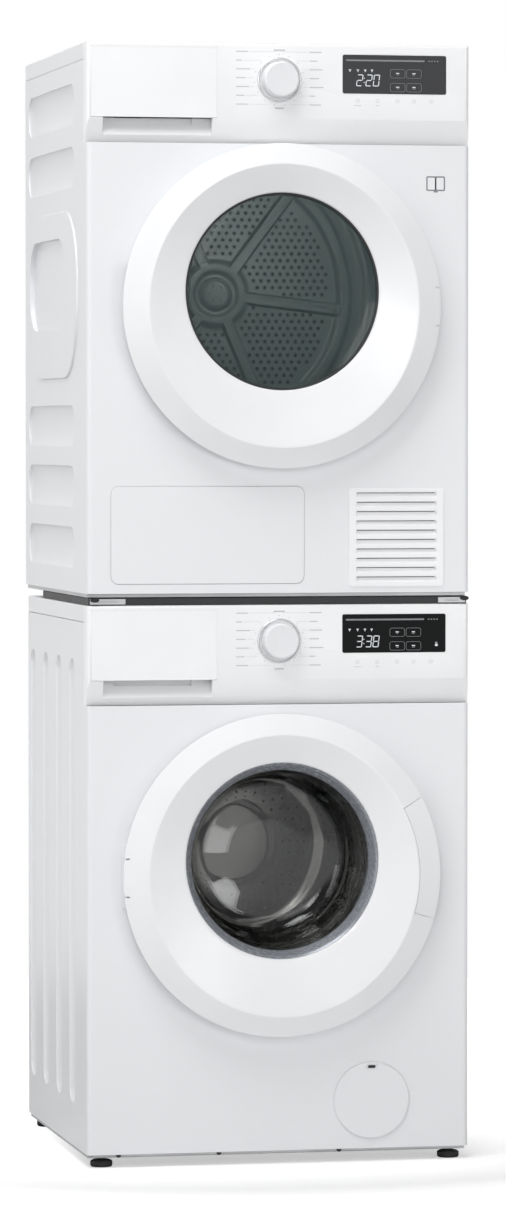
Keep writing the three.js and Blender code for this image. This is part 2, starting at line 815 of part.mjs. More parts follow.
dryerDoor.add(mesh('dryer_door_ring', doorShell(1, gripPocket(), gripPocketWall()), whitePlastic));
dryerDoor.add(mesh('dryer_door_back', dryerBackRing(), greyPlastic));
dryerDoor.add(mesh('dryer_door_hinge', hingeBracket(1), galvanised));

function dryerGlass() {
  const rise = windowRise;
  return loft([
    ring(-windowProud + 1, windowRadius - 0.6, { rise }),
    ring(-windowProud + 5, windowRadius + 0.4, { rise }),
  ], { sides: roundSides, closed: false });
}

dryerDoor.add(mesh('dryer_door_glass', dryerGlass(), smokedGlass));

// The fixed front wall of the drum, with the filter's pocket under the opening
function dryerBulkhead() {
  const plate = rodY(0, dryerDrumZ, dryerDrumRadius - 6, 29, 34, roundSides);
  const collar = rodY(0, dryerWindowZ, panelHoleRadius + 2, 3, 34, roundSides);
  const opening = rodY(0, dryerWindowZ, panelHoleRadius - 3, 0, 40, roundSides);
  const pocket = block(-90, 90, 8, 34, dryerWindowZ - 270, dryerWindowZ - 160);
  const slot = block(-84, 84, 12, 26, dryerWindowZ - 264, dryerWindowZ - 100);
  return plate.add(collar).add(pocket).subtract(opening).subtract(slot);
}

dryer.add(mesh('dryer_front_bulkhead', dryerBulkhead(), galvanised));

const dryTurn = new THREE.Group();
dryTurn.position.z = dryerDrumZ;
dryer.add(dryTurn);

// A lifting vane, pressed from sheet: inset gives its hollow inner side
function vaneOutline(r, inset) {
  const shape = new THREE.Shape();
  const foot = 30 - inset;
  const waist = 10 - inset;
  shape.moveTo(-foot, -r - 3);
  shape.lineTo(-foot, -r + 5 - inset);
  shape.quadraticCurveTo(-waist, -r + 16, -waist + 2, -r + 40 - inset);
  shape.quadraticCurveTo(0, -r + 54 - 2 * inset, waist - 2, -r + 40 - inset);
  shape.quadraticCurveTo(waist, -r + 16, foot, -r + 5 - inset);
  shape.lineTo(foot, -r - 3);
  return shape;
}

function dryerDrumShell() {
  const r = dryerDrumRadius;
  const t = 1.2;
  const shell = turned([
    [dryerDrumFront, r - 14], [dryerDrumFront + 22, r], [dryerDrumBack - 22, r], [dryerDrumBack, r - 14],
    [dryerDrumBack, r - 14 - t], [dryerDrumBack - 22 - t, r - t], [dryerDrumFront + 22 + t, r - t],
    [dryerDrumFront, r - 14 - t],
  ], roundSides);
  const round = rodY(0, 0, r - t / 2, 0, 600, roundSides);
  const vane = plateY(vaneOutline(r, 0), dryerDrumFront + 40, dryerDrumBack - 40, 5)
    .subtract(plateY(vaneOutline(r, 2), dryerDrumFront + 39, dryerDrumBack - 39, 5))
    .intersect(round);
  return [60, 180, 300].reduce((drum, turn) => drum.add(vane.rotate([0, turn, 0])), shell);
}

// The fixed rear wall, dished back round the heated air's inlet
function dryerRearWall() {
  const thickness = 1.5;
  const dish = loft([
    ring(dryerDrumBack + 2, dryerDrumRadius - 8),
    ring(dryerDrumBack + 4, dryerDrumRadius - 8),
    ring(dryerDrumBack + 18, 196),
    ring(dryerDrumBack + 18, 150),
  ], { sides: roundSides, closed: false });
  const hub = rodY(0, 0, 34, dryerDrumBack + 6, dryerDrumBack + 18, 20);
  return dish.subtract(dish.translate([0, -thickness, 0])).add(hub);
}

dryTurn.add(mesh('dryer_drum_shell', dryerDrumShell(), steel));
dryTurn.add(mesh('dryer_drum_rear_wall', dryerRearWall(), steel));

const dryMotor = { x: 215, z: -372, radius: 10 };
const dryDrum = { x: 0, z: 0, radius: dryerDrumRadius };

dryTurn.add(mesh('dryer_motor', motor(dryMotor.x, dryMotor.z, 46, 150, 290), copperBrown));
dryTurn.add(mesh('dryer_motor_pulley', rodY(dryMotor.x, dryMotor.z, dryMotor.radius, 302.4, 326, 16), steel));
dryTurn.add(mesh('dryer_belt', belt(dryDrum, dryMotor, 2, 308, 320), rubber));

function fan() {
  const y0 = 100;
  let wheel = rodY(0, 0, 58, y0, y0 + 3, 20).add(rodY(0, 0, 12, y0, y0 + 34, 20));
  for (let i = 0; i < 12; i += 1) {
    wheel = wheel.add(block(34, 57, y0 + 2, y0 + 34, -1.2, 1.2).rotate([0, 30 * i, 0]));
  }
  return wheel.translate([dryMotor.x, 0, dryMotor.z]);
}

dryTurn.add(mesh('dryer_fan', fan(), greyPlastic));

function heatExchanger() {
  let core = block(-240, 20, 60, 380, 24, 30).add(block(-240, 20, 60, 380, 142, 148));
  core = core.add(block(-240, -236, 60, 380, 24, 148)).add(block(16, 20, 60, 380, 24, 148));
  for (let i = 1; i < 8; i += 1) {
    core = core.add(block(-238, 18, 62, 378, 28 + i * 14.5, 30 + i * 14.5));
  }
  return core.add(block(-150, -70, 50, 64, 70, 100));
}

dryer.add(mesh('dryer_heat_exchanger', heatExchanger(), aluminium));

function accessFlap() {
  return plateY(roundedRect(flap.x0, flap.x1, flap.z0, flap.z1, 12), -0.8, 2.2);
}

dryer.add(mesh('dryer_access_flap', accessFlap(), enamel));

function ventGrille() {
  const slotCount = 10;
  const { pitch } = vent;
  let plate = plateY(roundedRect(vent.x0, vent.x1, vent.z0, vent.z1, 6), -1.8, -0.3, 4);
  plate = plate.add(block(vent.x0 + 6, vent.x1 - 6, -0.5, 4, vent.z0 + 6, vent.z1 - 6));
  for (let i = 0; i < slotCount; i += 1) {
    const z = vent.z0 + 11 + i * pitch - 3;
    plate = plate.subtract(block(vent.x0 + 9, vent.x1 - 9, -3, 6, z, z + 6));
  }
  return plate;
}

dryer.add(mesh('dryer_vent_grille', ventGrille(), whitePlastic));

export default root;
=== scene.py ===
import bpy
import json
import math
from mathutils import Matrix, Vector

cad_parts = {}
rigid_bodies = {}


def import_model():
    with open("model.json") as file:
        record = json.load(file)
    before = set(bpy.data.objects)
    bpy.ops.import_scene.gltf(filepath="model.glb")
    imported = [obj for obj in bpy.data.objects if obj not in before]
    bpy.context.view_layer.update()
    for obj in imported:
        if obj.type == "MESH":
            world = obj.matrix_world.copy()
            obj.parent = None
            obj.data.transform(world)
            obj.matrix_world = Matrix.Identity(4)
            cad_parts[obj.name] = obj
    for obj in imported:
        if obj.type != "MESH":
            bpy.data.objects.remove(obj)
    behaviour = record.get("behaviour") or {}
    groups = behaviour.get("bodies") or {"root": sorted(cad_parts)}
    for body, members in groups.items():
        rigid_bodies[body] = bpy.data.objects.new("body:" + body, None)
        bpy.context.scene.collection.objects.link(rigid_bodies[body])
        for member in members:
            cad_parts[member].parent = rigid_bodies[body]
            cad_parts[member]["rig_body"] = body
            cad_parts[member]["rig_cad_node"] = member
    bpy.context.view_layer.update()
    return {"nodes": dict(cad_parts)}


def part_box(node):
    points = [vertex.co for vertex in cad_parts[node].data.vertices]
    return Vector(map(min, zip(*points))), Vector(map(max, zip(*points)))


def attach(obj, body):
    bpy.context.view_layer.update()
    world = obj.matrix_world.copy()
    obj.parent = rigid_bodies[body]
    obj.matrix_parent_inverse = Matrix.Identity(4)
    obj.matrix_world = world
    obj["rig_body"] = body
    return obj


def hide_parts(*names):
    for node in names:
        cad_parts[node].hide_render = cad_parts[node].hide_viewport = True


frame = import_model()
nodes = frame["nodes"]
bpy.ops.object.select_all(action="DESELECT")
print("stage: frame loaded")

millimetre = 0.001
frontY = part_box("washer_front_panel")[0].y
machineBase = {
    "washer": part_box("washer_front_panel")[0].z,
    "dryer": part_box("dryer_front_panel")[0].z,
}
machineDepth = {
    "washer": (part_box("washer_side_left")[1].y - frontY) / millimetre,
    "dryer": (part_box("dryer_side_left")[1].y - frontY) / millimetre,
}
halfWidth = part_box("washer_side_right")[1].x / millimetre
cabinetHeight = (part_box("washer_worktop")[1].z - machineBase["washer"]) / millimetre
shoulderHeight = (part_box("washer_fascia")[0].z - machineBase["washer"]) / millimetre
doorHeight = {"washer": 424, "dryer": 437}
windowRise = 22  # the windows sit this much above the middle of their doors
windowHeight = {machine: height + windowRise for machine, height in doorHeight.items()}


# materials: every finish is a node tree of its own

def newMaterial(name, colour, roughness, metallic=0.0):
    material = bpy.data.materials.new(name)
    material.use_nodes = True
    shader = material.node_tree.nodes["Principled BSDF"]
    shader.inputs["Base Color"].default_value = (*colour, 1)
    shader.inputs["Roughness"].default_value = roughness
    shader.inputs["Metallic"].default_value = metallic
    material.diffuse_color = (*colour, 1)
    return material, shader


def addNode(material, kind, **values):
    node = material.node_tree.nodes.new(kind)
    for key, value in values.items():
        if key in node.inputs:
            node.inputs[key].default_value = value
        else:
            setattr(node, key, value)
    return node


def join(material, start, end):
    material.node_tree.links.new(start, end)


def objectCoords(material, scale=(1, 1, 1), place=(0, 0, 0)):
    coords = addNode(material, "ShaderNodeTexCoord")
    mapping = addNode(material, "ShaderNodeMapping", Scale=scale, Location=place)
    join(material, coords.outputs["Object"], mapping.inputs["Vector"])
    return mapping.outputs["Vector"]


def noise(material, vector, scale, detail=2.0, rough=0.5):
    texture = addNode(material, "ShaderNodeTexNoise", Scale=scale, Detail=detail, Roughness=rough)
    join(material, vector, texture.inputs["Vector"])
    return texture.outputs["Fac"]


def varyRoughness(material, shader, factor, low, high):
    ramp = addNode(material, "ShaderNodeMapRange")
    ramp.inputs["To Min"].default_value = low
    ramp.inputs["To Max"].default_value = high
    join(material, factor, ramp.inputs["Value"])
    join(material, ramp.outputs["Result"], shader.inputs["Roughness"])


def varyColour(material, shader, factor, dark, light, low=0.3, high=0.7):
    ramp = addNode(material, "ShaderNodeValToRGB")
    ramp.color_ramp.elements[0].position = low
    ramp.color_ramp.elements[0].color = (*dark, 1)
    ramp.color_ramp.elements[1].position = high
    ramp.color_ramp.elements[1].color = (*light, 1)
    join(material, factor, ramp.inputs["Fac"])
    join(material, ramp.outputs["Color"], shader.inputs["Base Color"])


def addBump(material, shader, height, strength, distance):
    bump = addNode(material, "ShaderNodeBump", Strength=strength, Distance=distance)
    join(material, height, bump.inputs["Height"])
    join(material, bump.outputs["Normal"], shader.inputs["Normal"])


def enamelFinish(name, colour):
    material, shader = newMaterial(name, colour, 0.3)
    vector = objectCoords(material)
    shade = tuple(c * 0.985 for c in colour)
    varyColour(material, shader, noise(material, vector, 3, 3), shade, colour)
    varyRoughness(material, shader, noise(material, vector, 60, 4), 0.26, 0.38)
    addBump(material, shader, noise(material, vector, 420, 1), 0.05, 0.0004)
    shader.inputs["Coat Weight"].default_value = 0.12
    shader.inputs["Coat Roughness"].default_value = 0.2
    return material


def mouldedFinish(name, colour, roughness, grain=0.06, grainScale=1400):
    material, shader = newMaterial(name, colour, roughness)
    vector = objectCoords(material)
    shade = tuple(c * 0.97 for c in colour)
    varyColour(material, shader, noise(material, vector, 9, 2), shade, colour)
    varyRoughness(material, shader, noise(material, vector, 45, 3), roughness - 0.05, roughness + 0.07)
    addBump(material, shader, noise(material, vector, grainScale, 1), grain, 0.0003)
    return material


def sheetMetalFinish(name, colour, roughness, stretch, metallic=1.0, relief=0.12):
    material, shader = newMaterial(name, colour, roughness, metallic)
    vector = objectCoords(material, stretch)
    lines = noise(material, vector, 120, 3)
    varyColour(material, shader, noise(material, objectCoords(material), 14, 4),
               tuple(c * 0.86 for c in colour), colour)
    varyRoughness(material, shader, lines, roughness - 0.07, roughness + 0.12)
    addBump(material, shader, lines, relief, 0.0003)
    return material


def rubberFinish(name, colour, roughness=0.75):
    material, shader = newMaterial(name, colour, roughness)
    vector = objectCoords(material)
    varyColour(material, shader, noise(material, vector, 35, 4), colour, tuple(c * 1.35 for c in colour))
    addBump(material, shader, noise(material, vector, 900, 2), 0.15, 0.0003)
    return material


def glossWindow(name, colour, coat):
    material, shader = newMaterial(name, colour, 0.06)
    shader.inputs["Specular IOR Level"].default_value = coat / 2
    vector = objectCoords(material)
    varyRoughness(material, shader, noise(material, vector, 30, 3), 0.04, 0.09)
    shader.inputs["Coat Weight"].default_value = coat
    shader.inputs["Coat Roughness"].default_value = 0.03
    return material


def glassFinish(name, colour, roughness, wave, cover):
    # cover is how much of what lies behind the glass its tint hides
    material, shader = newMaterial(name, colour, roughness)
    shader.inputs["Alpha"].default_value = cover
    shader.inputs["Specular IOR Level"].default_value = 0.25
    shader.inputs["Coat Weight"].default_value = 0.1
    shader.inputs["Coat Roughness"].default_value = 0.02
    vector = objectCoords(material)
    varyRoughness(material, shader, noise(material, vector, 25, 3), roughness, roughness + 0.02)
    addBump(material, shader, noise(material, vector, 18, 1), wave, 0.001)
    return material


def pressedGlass(name, colour):
    material, shader = newMaterial(name, colour, 0.01)
    shader.inputs["Transmission Weight"].default_value = 1.0
    shader.inputs["IOR"].default_value = 1.46
    vector = objectCoords(material)
    varyRoughness(material, shader, noise(material, vector, 20, 3), 0.005, 0.03)
    addBump(material, shader, noise(material, vector, 14, 1), 0.02, 0.001)
    return material


def concreteFinish(name, colour):
    material, shader = newMaterial(name, colour, 0.95)
    vector = objectCoords(material)
    dark = tuple(c * 0.7 for c in colour)
    varyColour(material, shader, noise(material, vector, 90, 6, 0.7), dark, colour)
    addBump(material, shader, noise(material, vector, 240, 5, 0.7), 0.5, 0.001)
    return material


def printAndShadeFinish(name, colour):
    material, shader = newMaterial(name, colour, 0.5)
    vector = objectCoords(material)
    varyRoughness(material, shader, noise(material, vector, 400, 2), 0.42, 0.6)
    return material


def litFinish(name, colour, strength):
    material, shader = newMaterial(name, colour, 0.4)
    shader.inputs["Emission Color"].default_value = (*colour, 1)
    shader.inputs["Emission Strength"].default_value = strength
    vector = objectCoords(material)
    varyRoughness(material, shader, noise(material, vector, 300, 2), 0.3, 0.5)
    return material


def brushedDial(name, colour, centre):
    material, shader = newMaterial(name, colour, 0.35)
    vector = objectCoords(material, place=tuple(-c for c in centre))
    wave = addNode(material, "ShaderNodeTexWave", wave_type="RINGS", rings_direction="Y", Scale=900,
                   Distortion=1.5)
    join(material, vector, wave.inputs["Vector"])
    varyRoughness(material, shader, wave.outputs["Fac"], 0.28, 0.42)
    addBump(material, shader, wave.outputs["Fac"], 0.06, 0.0001)
    return material


finish = {
    "enamel": enamelFinish("enamelWhite", (0.83, 0.84, 0.86)),
    "plastic": mouldedFinish("plasticWhite", (0.92, 0.925, 0.935), 0.3, 0.03),
    "door": mouldedFinish("doorWhite", (0.88, 0.885, 0.9), 0.22, 0.015),
    "lever": mouldedFinish("leverWhite", (0.88, 0.885, 0.9), 0.23, 0.015),
    "greyPlastic": mouldedFinish("plasticGrey", (0.42, 0.43, 0.45), 0.45, 0.1),
    "tray": mouldedFinish("trayGrey", (0.62, 0.63, 0.65), 0.4, 0.06),
    "darkPlastic": mouldedFinish("plasticDark", (0.02, 0.021, 0.023), 0.5, 0.12),
    "tub": mouldedFinish("tubGrey", (0.3, 0.31, 0.32), 0.55, 0.2, 700),
    "galvanised": sheetMetalFinish("galvanised", (0.55, 0.56, 0.57), 0.4, (1, 1, 6)),
    "steel": sheetMetalFinish("steelTurned", (0.6, 0.6, 0.6), 0.28, (1, 8, 1)),
    "drum": sheetMetalFinish("drumSteel", (0.6, 0.6, 0.6), 0.13, (1, 4, 1), 1.0, 0.02),
    "dryerDrum": sheetMetalFinish("dryerDrumSteel", (0.5, 0.56, 0.57), 0.4, (1, 4, 1), 0.8, 0.02),
    "drumBack": sheetMetalFinish("drumBackSteel", (0.13, 0.126, 0.118), 0.16, (1, 1, 1), 1.0, 0.02),
    "rear": sheetMetalFinish("rearWallSteel", (0.32, 0.37, 0.36), 0.5, (1, 1, 1), 0.5),
    "aluminium": sheetMetalFinish("aluminium", (0.62, 0.63, 0.64), 0.38, (4, 1, 1)),
    "chrome": sheetMetalFinish("chromeRing", (0.82, 0.83, 0.85), 0.2, (1, 6, 1), 0.6),
    "motor": sheetMetalFinish("motorCase", (0.16, 0.13, 0.11), 0.5, (1, 2, 1), 0.6),
    "rubber": rubberFinish("footRubber", (0.018, 0.018, 0.019)),
    "belt": rubberFinish("beltRubber", (0.02, 0.02, 0.02), 0.6),
    "gasket": rubberFinish("gasketRubber", (0.24, 0.25, 0.26), 0.6),
    "concrete": concreteFinish("weightConcrete", (0.42, 0.41, 0.39)),
    "displayBlack": glossWindow("displayBlack", (0.006, 0.0065, 0.007), 0.12),
    "displayGrey": glossWindow("displayGrey", (0.03, 0.031, 0.034), 0.45),
    "trim": sheetMetalFinish("windowTrim", (0.4, 0.42, 0.46), 0.24, (1, 8, 1), 0.45),
    "smoked": glassFinish("smokedGlass", (0.011, 0.026, 0.026), 0.03, 0.02, 0.48),
    "bowl": pressedGlass("bowlGlass", (0.93, 0.95, 0.95)),
    "print": printAndShadeFinish("printGrey", (0.56, 0.57, 0.59)),
    "printLight": printAndShadeFinish("printLightGrey", (0.68, 0.69, 0.71)),
    "sign": printAndShadeFinish("printSign", (0.22, 0.225, 0.24)),
    "lit": litFinish("displayLit", (0.62, 0.65, 0.68), 0.3),
    "dim": litFinish("displayDim", (0.2, 0.21, 0.22), 0.16),
    # the two hole finishes are painted shade: flat dark colour for the darkness seen through perforations and
    # slots
    "hole": printAndShadeFinish("holePaintedShade", (0.03, 0.03, 0.032)),
    "rearHole": printAndShadeFinish("rearHolePaintedShade", (0.055, 0.06, 0.06)),
}
print("stage: materials made")


# modelling helpers: pieces are shaped in millimetres in their machine's own frame

def wake(piece):
    bpy.ops.object.select_all(action="DESELECT")
    piece.select_set(True)
    bpy.context.view_layer.objects.active = piece


def meshPiece(name, points, edges=(), faces=()):
    mesh = bpy.data.meshes.new(name)
    mesh.from_pydata([tuple(p) for p in points], list(edges), list(faces))
    piece = bpy.data.objects.new(name, mesh)
    bpy.context.scene.collection.objects.link(piece)
    return piece


def editAll(piece, *steps):
    wake(piece)
    bpy.ops.object.mode_set(mode="EDIT")
    bpy.ops.mesh.select_all(action="SELECT")
    for step in steps:
        step()
    bpy.ops.object.mode_set(mode="OBJECT")
    return piece


def tidyShell():
    bpy.ops.mesh.remove_doubles(threshold=0.002)
    bpy.ops.mesh.normals_make_consistent(inside=False)


def lift(axis, a, b):
    # an outline's two numbers fill the two axes that are left
    return {
        "X": lambda p: (a, p[0], p[1]),
        "Y": lambda p: (p[0], a, p[1]),
        "Z": lambda p: (p[0], p[1], a),
    }[axis], {"X": (b - a, 0, 0), "Y": (0, b - a, 0), "Z": (0, 0, b - a)}[axis]


def prism(name, points, axis, a, b):
    spot, move = lift(axis, a, b)
    piece = meshPiece(name, [spot(p) for p in points], (), [tuple(range(len(points)))])

    def extrude():
        bpy.ops.mesh.extrude_region_move(TRANSFORM_OT_translate={"value": move})
        bpy.ops.mesh.select_all(action="SELECT")
        bpy.ops.mesh.normals_make_consistent(inside=False)

    return editAll(piece, extrude)


def block(name, x0, x1, y0, y1, z0, z1):
    bpy.ops.object.select_all(action="DESELECT")
    bpy.ops.mesh.primitive_cube_add(size=1, location=((x0 + x1) / 2, (y0 + y1) / 2, (z0 + z1) / 2))
    piece = bpy.context.object
    piece.name = name
    piece.scale = (x1 - x0, y1 - y0, z1 - z0)
    bpy.ops.object.transform_apply(location=True, rotation=True, scale=True)
    return piece


def arc(cx, cz, radius, start, end, steps):
    turns = [math.radians(start + (end - start) * i / steps) for i in range(steps + 1)]
    return [(cx + radius * math.cos(t), cz + radius * math.sin(t)) for t in turns]


def roundedRect(x0, x1, z0, z1, radius, steps=6):
    return (arc(x1 - radius, z1 - radius, radius, 0, 90, steps)
            + arc(x0 + radius, z1 - radius, radius, 90, 180, steps)
            + arc(x0 + radius, z0 + radius, radius, 180, 270, steps)
            + arc(x1 - radius, z0 + radius, radius, 270, 360, steps))


def filleted(points, steps=3):
    # each point is (radius, depth, fillet); sharp where the fillet is 0
    path = []
    count = len(points)
    for i, (r, y, fillet) in enumerate(points):
        if not fillet:
            path.append((r, y))
            continue
        here = Vector((r, y))
        before = Vector(points[i - 1][:2]) - here
        after = Vector(points[(i + 1) % count][:2]) - here
        reach = min(fillet, before.length * 0.45, after.length * 0.45)
        a = here + before.normalized() * reach
        b = here + after.normalized() * reach
        for k in range(steps + 1):
            t = k / steps
            path.append(tuple(a * (1 - t) ** 2 + here * 2 * t * (1 - t) + b * t ** 2))
    return path


def spun(name, points, steps=96, closed=True, x=0.0, z=0.0):
    # a profile of (radius, depth) turned once round the depth axis
    count = len(points)
    edges = [(i, (i + 1) % count) for i in range(count if closed else count - 1)]
    piece = meshPiece(name, [(r, y, 0) for r, y in points], edges)

    def spin():
        bpy.ops.mesh.spin(steps=steps, angle=2 * math.pi, center=(0, 0, 0), axis=(0, 1, 0))
        bpy.ops.mesh.select_all(action="SELECT")
        tidyShell()

    editAll(piece, spin)
    piece.data.transform(Matrix.Translation((x, 0, z)))
    return piece


def modifier(piece, kind, **values):
    item = piece.modifiers.new(kind.title(), kind)
    for key, value in values.items():
        setattr(item, key, value)
    wake(piece)
    bpy.ops.object.modifier_apply(modifier=item.name)
    return piece


def cut(piece, cutter, operation="DIFFERENCE"):
    modifier(piece, "BOOLEAN", object=cutter, operation=operation, solver="EXACT")
    bpy.data.objects.remove(cutter)
    return piece


def soften(piece, width, segments=3, angle=30):
    return modifier(piece, "BEVEL", width=width, segments=segments, limit_method="ANGLE",
                    angle_limit=math.radians(angle), harden_normals=False)


def smooth(piece, angle=35):
    wake(piece)
    bpy.ops.object.shade_smooth_by_angle(angle=math.radians(angle))
    # large flat faces keep their own normals next to rounded edges
    return modifier(piece, "WEIGHTED_NORMAL", mode="FACE_AREA", weight=50, keep_sharp=True)


def merge(name, pieces):
    pieces = list(pieces)
    wake(pieces[0])
    for piece in pieces[1:]:
        piece.select_set(True)
    bpy.ops.object.join()
    pieces[0].name = name
    return pieces[0]


def copyOf(piece, name, matrix):
    twin = piece.copy()
    twin.data = piece.data.copy()
    twin.name = name
    bpy.context.scene.collection.objects.link(twin)
    twin.data.transform(matrix)
    if matrix.determinant() < 0:
        twin.data.flip_normals()
    return twin


def settle(piece, machine, body, material, stands=(), z=0.0):
    place = Vector((0, frontY, machineBase[machine] + z * millimetre))
    piece.data.transform(Matrix.Translation(place) @ Matrix.Scale(millimetre, 4))
    piece.data.materials.clear()
    piece.data.materials.append(material)
    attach(piece, body)
    for node in stands:
        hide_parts(node)
    return piece


def paintNode(node, material):
    piece = nodes[node]
    piece.data.materials.clear()
    piece.data.materials.append(material)


# cabinets

cabinet = {
    "sheet": 2.5, "corner": 8, "wrap": 13, "worktop": 26, "fasciaDepth": 28, "wall": 8,
    "hole": 170, "filterHole": 52.5, "gap": 0.2,
}
dryerGrooves = {"heights": [748, 652, 255, 162, 68], "y0": 107, "y1": 535, "half": 32, "depth": 7}
dryerPad = {"y": (75, 512), "z": (328, 587), "radius": 112, "proud": 3.2,
            "dipY": (176, 505), "dipZ": (405, 546), "dipRadius": 60, "dip": 7}
washerFlutes = {"y": [133, 254, 375, 496], "z0": 66, "z1": 752, "half": 27, "depth": 7}


def groove(name, y0, y1, z0, z1, half, depth):
    # a capsule flattened towards the wall, lying along the groove
    bpy.ops.object.select_all(action="DESELECT")
    bpy.ops.mesh.primitive_uv_sphere_add(segments=32, ring_count=16, radius=half, location=(0, 0, 0))
    piece = bpy.context.object
    piece.name = name
    alongZ = z1 - z0 > y1 - y0
    low, high = (z0 + half, z1 - half) if alongZ else (y0 + half, y1 - half)
    for vertex in piece.data.vertices:
        along = vertex.co.z if alongZ else vertex.co.y
        shift = high if along > 0.01 else low if along < -0.01 else (low + high) / 2
        if alongZ:
            vertex.co.z += shift
            vertex.co.y += (y0 + y1) / 2
        else:
            vertex.co.y += shift
            vertex.co.z += (z0 + z1) / 2
        vertex.co.x *= depth / half
    return piece


def sideWall(machine):
    depth = machineDepth[machine]
    c = cabinet
    top = cabinetHeight - c["worktop"] - c["gap"]
    rear = depth - 0.3
    outline = [(c["wrap"] + c["gap"], 0), (rear, 0), (rear, top), (c["fasciaDepth"] + c["gap"], top),
               (c["fasciaDepth"] + c["gap"], shoulderHeight - c["gap"]),
               (c["wrap"] + c["gap"], shoulderHeight - c["gap"])]
    wall = prism(f"{machine}SideWall", outline, "X", -halfWidth, -halfWidth + c["wall"])
    shift = Matrix.Translation((-halfWidth, 0, 0))
    if machine == "washer":
        g = washerFlutes
        for y in g["y"]:
            cutter = groove("flute", y - g["half"], y + g["half"], g["z0"], g["z1"], g["half"], g["depth"])
            cutter.data.transform(shift)
            cut(wall, cutter)
    else:
        g = dryerGrooves
        for z in g["heights"]:
            cutter = groove("bead", g["y0"], g["y1"], z - g["half"], z + g["half"], g["half"], g["depth"])
            cutter.data.transform(shift)
            cut(wall, cutter)
        p = dryerPad
        pad = prism("pad", roundedRect(*p["y"], *p["z"], p["radius"], 10), "X",
                    -halfWidth - p["proud"], -halfWidth + 4)
        soften(pad, 3, 3)
        cut(wall, pad, "UNION")
        dip = prism("dip", roundedRect(*p["dipY"], *p["dipZ"], p["dipRadius"], 8), "X",
                    -halfWidth - 20, -halfWidth - p["proud"] + p["dip"])
        cut(wall, dip)
    return soften(wall, 1.6, 3, 24)


def buildCabinet(machine):
    c = cabinet
    depth = machineDepth[machine]
    r = c["corner"]
    left = sideWall(machine)
    right = copyOf(left, f"{machine}SideWallRight", Matrix.Scale(-1, 4, (1, 0, 0)))
    for wall in (left, right):
        smooth(wall)
    settle(left, machine, "cabinets", finish["enamel"], [f"{machine}_side_left"])
    settle(right, machine, "cabinets", finish["enamel"], [f"{machine}_side_right"])

    outer = ([(-halfWidth, c["wrap"])] + arc(-halfWidth + r, r, r, 180, 270, 8)
             + arc(halfWidth - r, r, r, 270, 360, 8) + [(halfWidth, c["wrap"])])
    inner = ([(halfWidth - c["sheet"], c["wrap"])]
             + list(reversed(arc(halfWidth - r, r, r - c["sheet"], 270, 360, 8)))
             + list(reversed(arc(-halfWidth + r, r, r - c["sheet"], 180, 270, 8)))
             + [(-halfWidth + c["sheet"], c["wrap"])])
    front = prism(f"{machine}FrontPanel", outer + inner, "Z", 0, shoulderHeight - c["gap"])
    hole = windowHeight[machine]
    cut(front, prism("hole", arc(0, hole, c["hole"], 0, 358, 95), "Y", -5, 9))
    if machine == "washer":
        cut(front, prism("lock", roundedRect(190, 214, 410, 438, 3), "Y", -5, 9))
        cut(front, prism("filter", arc(145, 74, c["filterHole"], 0, 355, 71), "Y", -5, 9))
    else:
        cut(front, prism("hatch", roundedRect(-261.15, 39.15, 14.15, 163.15, 12.35, 8), "Y", -5, 9))
        cut(front, prism("vent", roundedRect(113.8, 252.2, 14.5, 155, 3), "Y", -5, 9))
    soften(front, 0.5, 2, 40)
    smooth(front, 35)
    settle(front, machine, "cabinets", finish["enamel"], [f"{machine}_front_panel"])

    lip = spun(f"{machine}HoleLip", filleted([
        (c["hole"] + 0.1, 2.6, 0), (c["hole"] + 0.1, 14, 1.5), (c["hole"] + 3.5, 16, 0.6),
        (c["hole"] + 1.6, 13, 0), (c["hole"] + 1.6, 2.6, 0)]), 96, z=hole)
    smooth(lip)
    settle(lip, machine, "cabinets", finish["enamel"])

    top = block(f"{machine}Worktop", -halfWidth, halfWidth, c["fasciaDepth"] + c["gap"], depth,
                cabinetHeight - c["worktop"], cabinetHeight)
    cut(top, block("hollow", -halfWidth + 6, halfWidth - 6, c["fasciaDepth"] + 6, depth - 6, 700,
                   cabinetHeight - 5))
    soften(top, 2.2, 4, 40)
    smooth(top)
    settle(top, machine, "cabinets", finish["enamel"], [f"{machine}_worktop"])


buildCabinet("washer")
buildCabinet("dryer")
print("stage: cabinets")


# control fascias

fascia = {
    "band": 38, "setBack": 12, "wall": 3, "depth": 28,
    "bay": (-276, -100), "cupX": (-272.6, -104), "slotX": (-254, -132.5), "front": (-291, -97),
    "frontTop": 829, "seam": 0.12,
    "display": (98.5, 261.3, 761.5, 821), "knobZ": 781, "collar": 34,
}


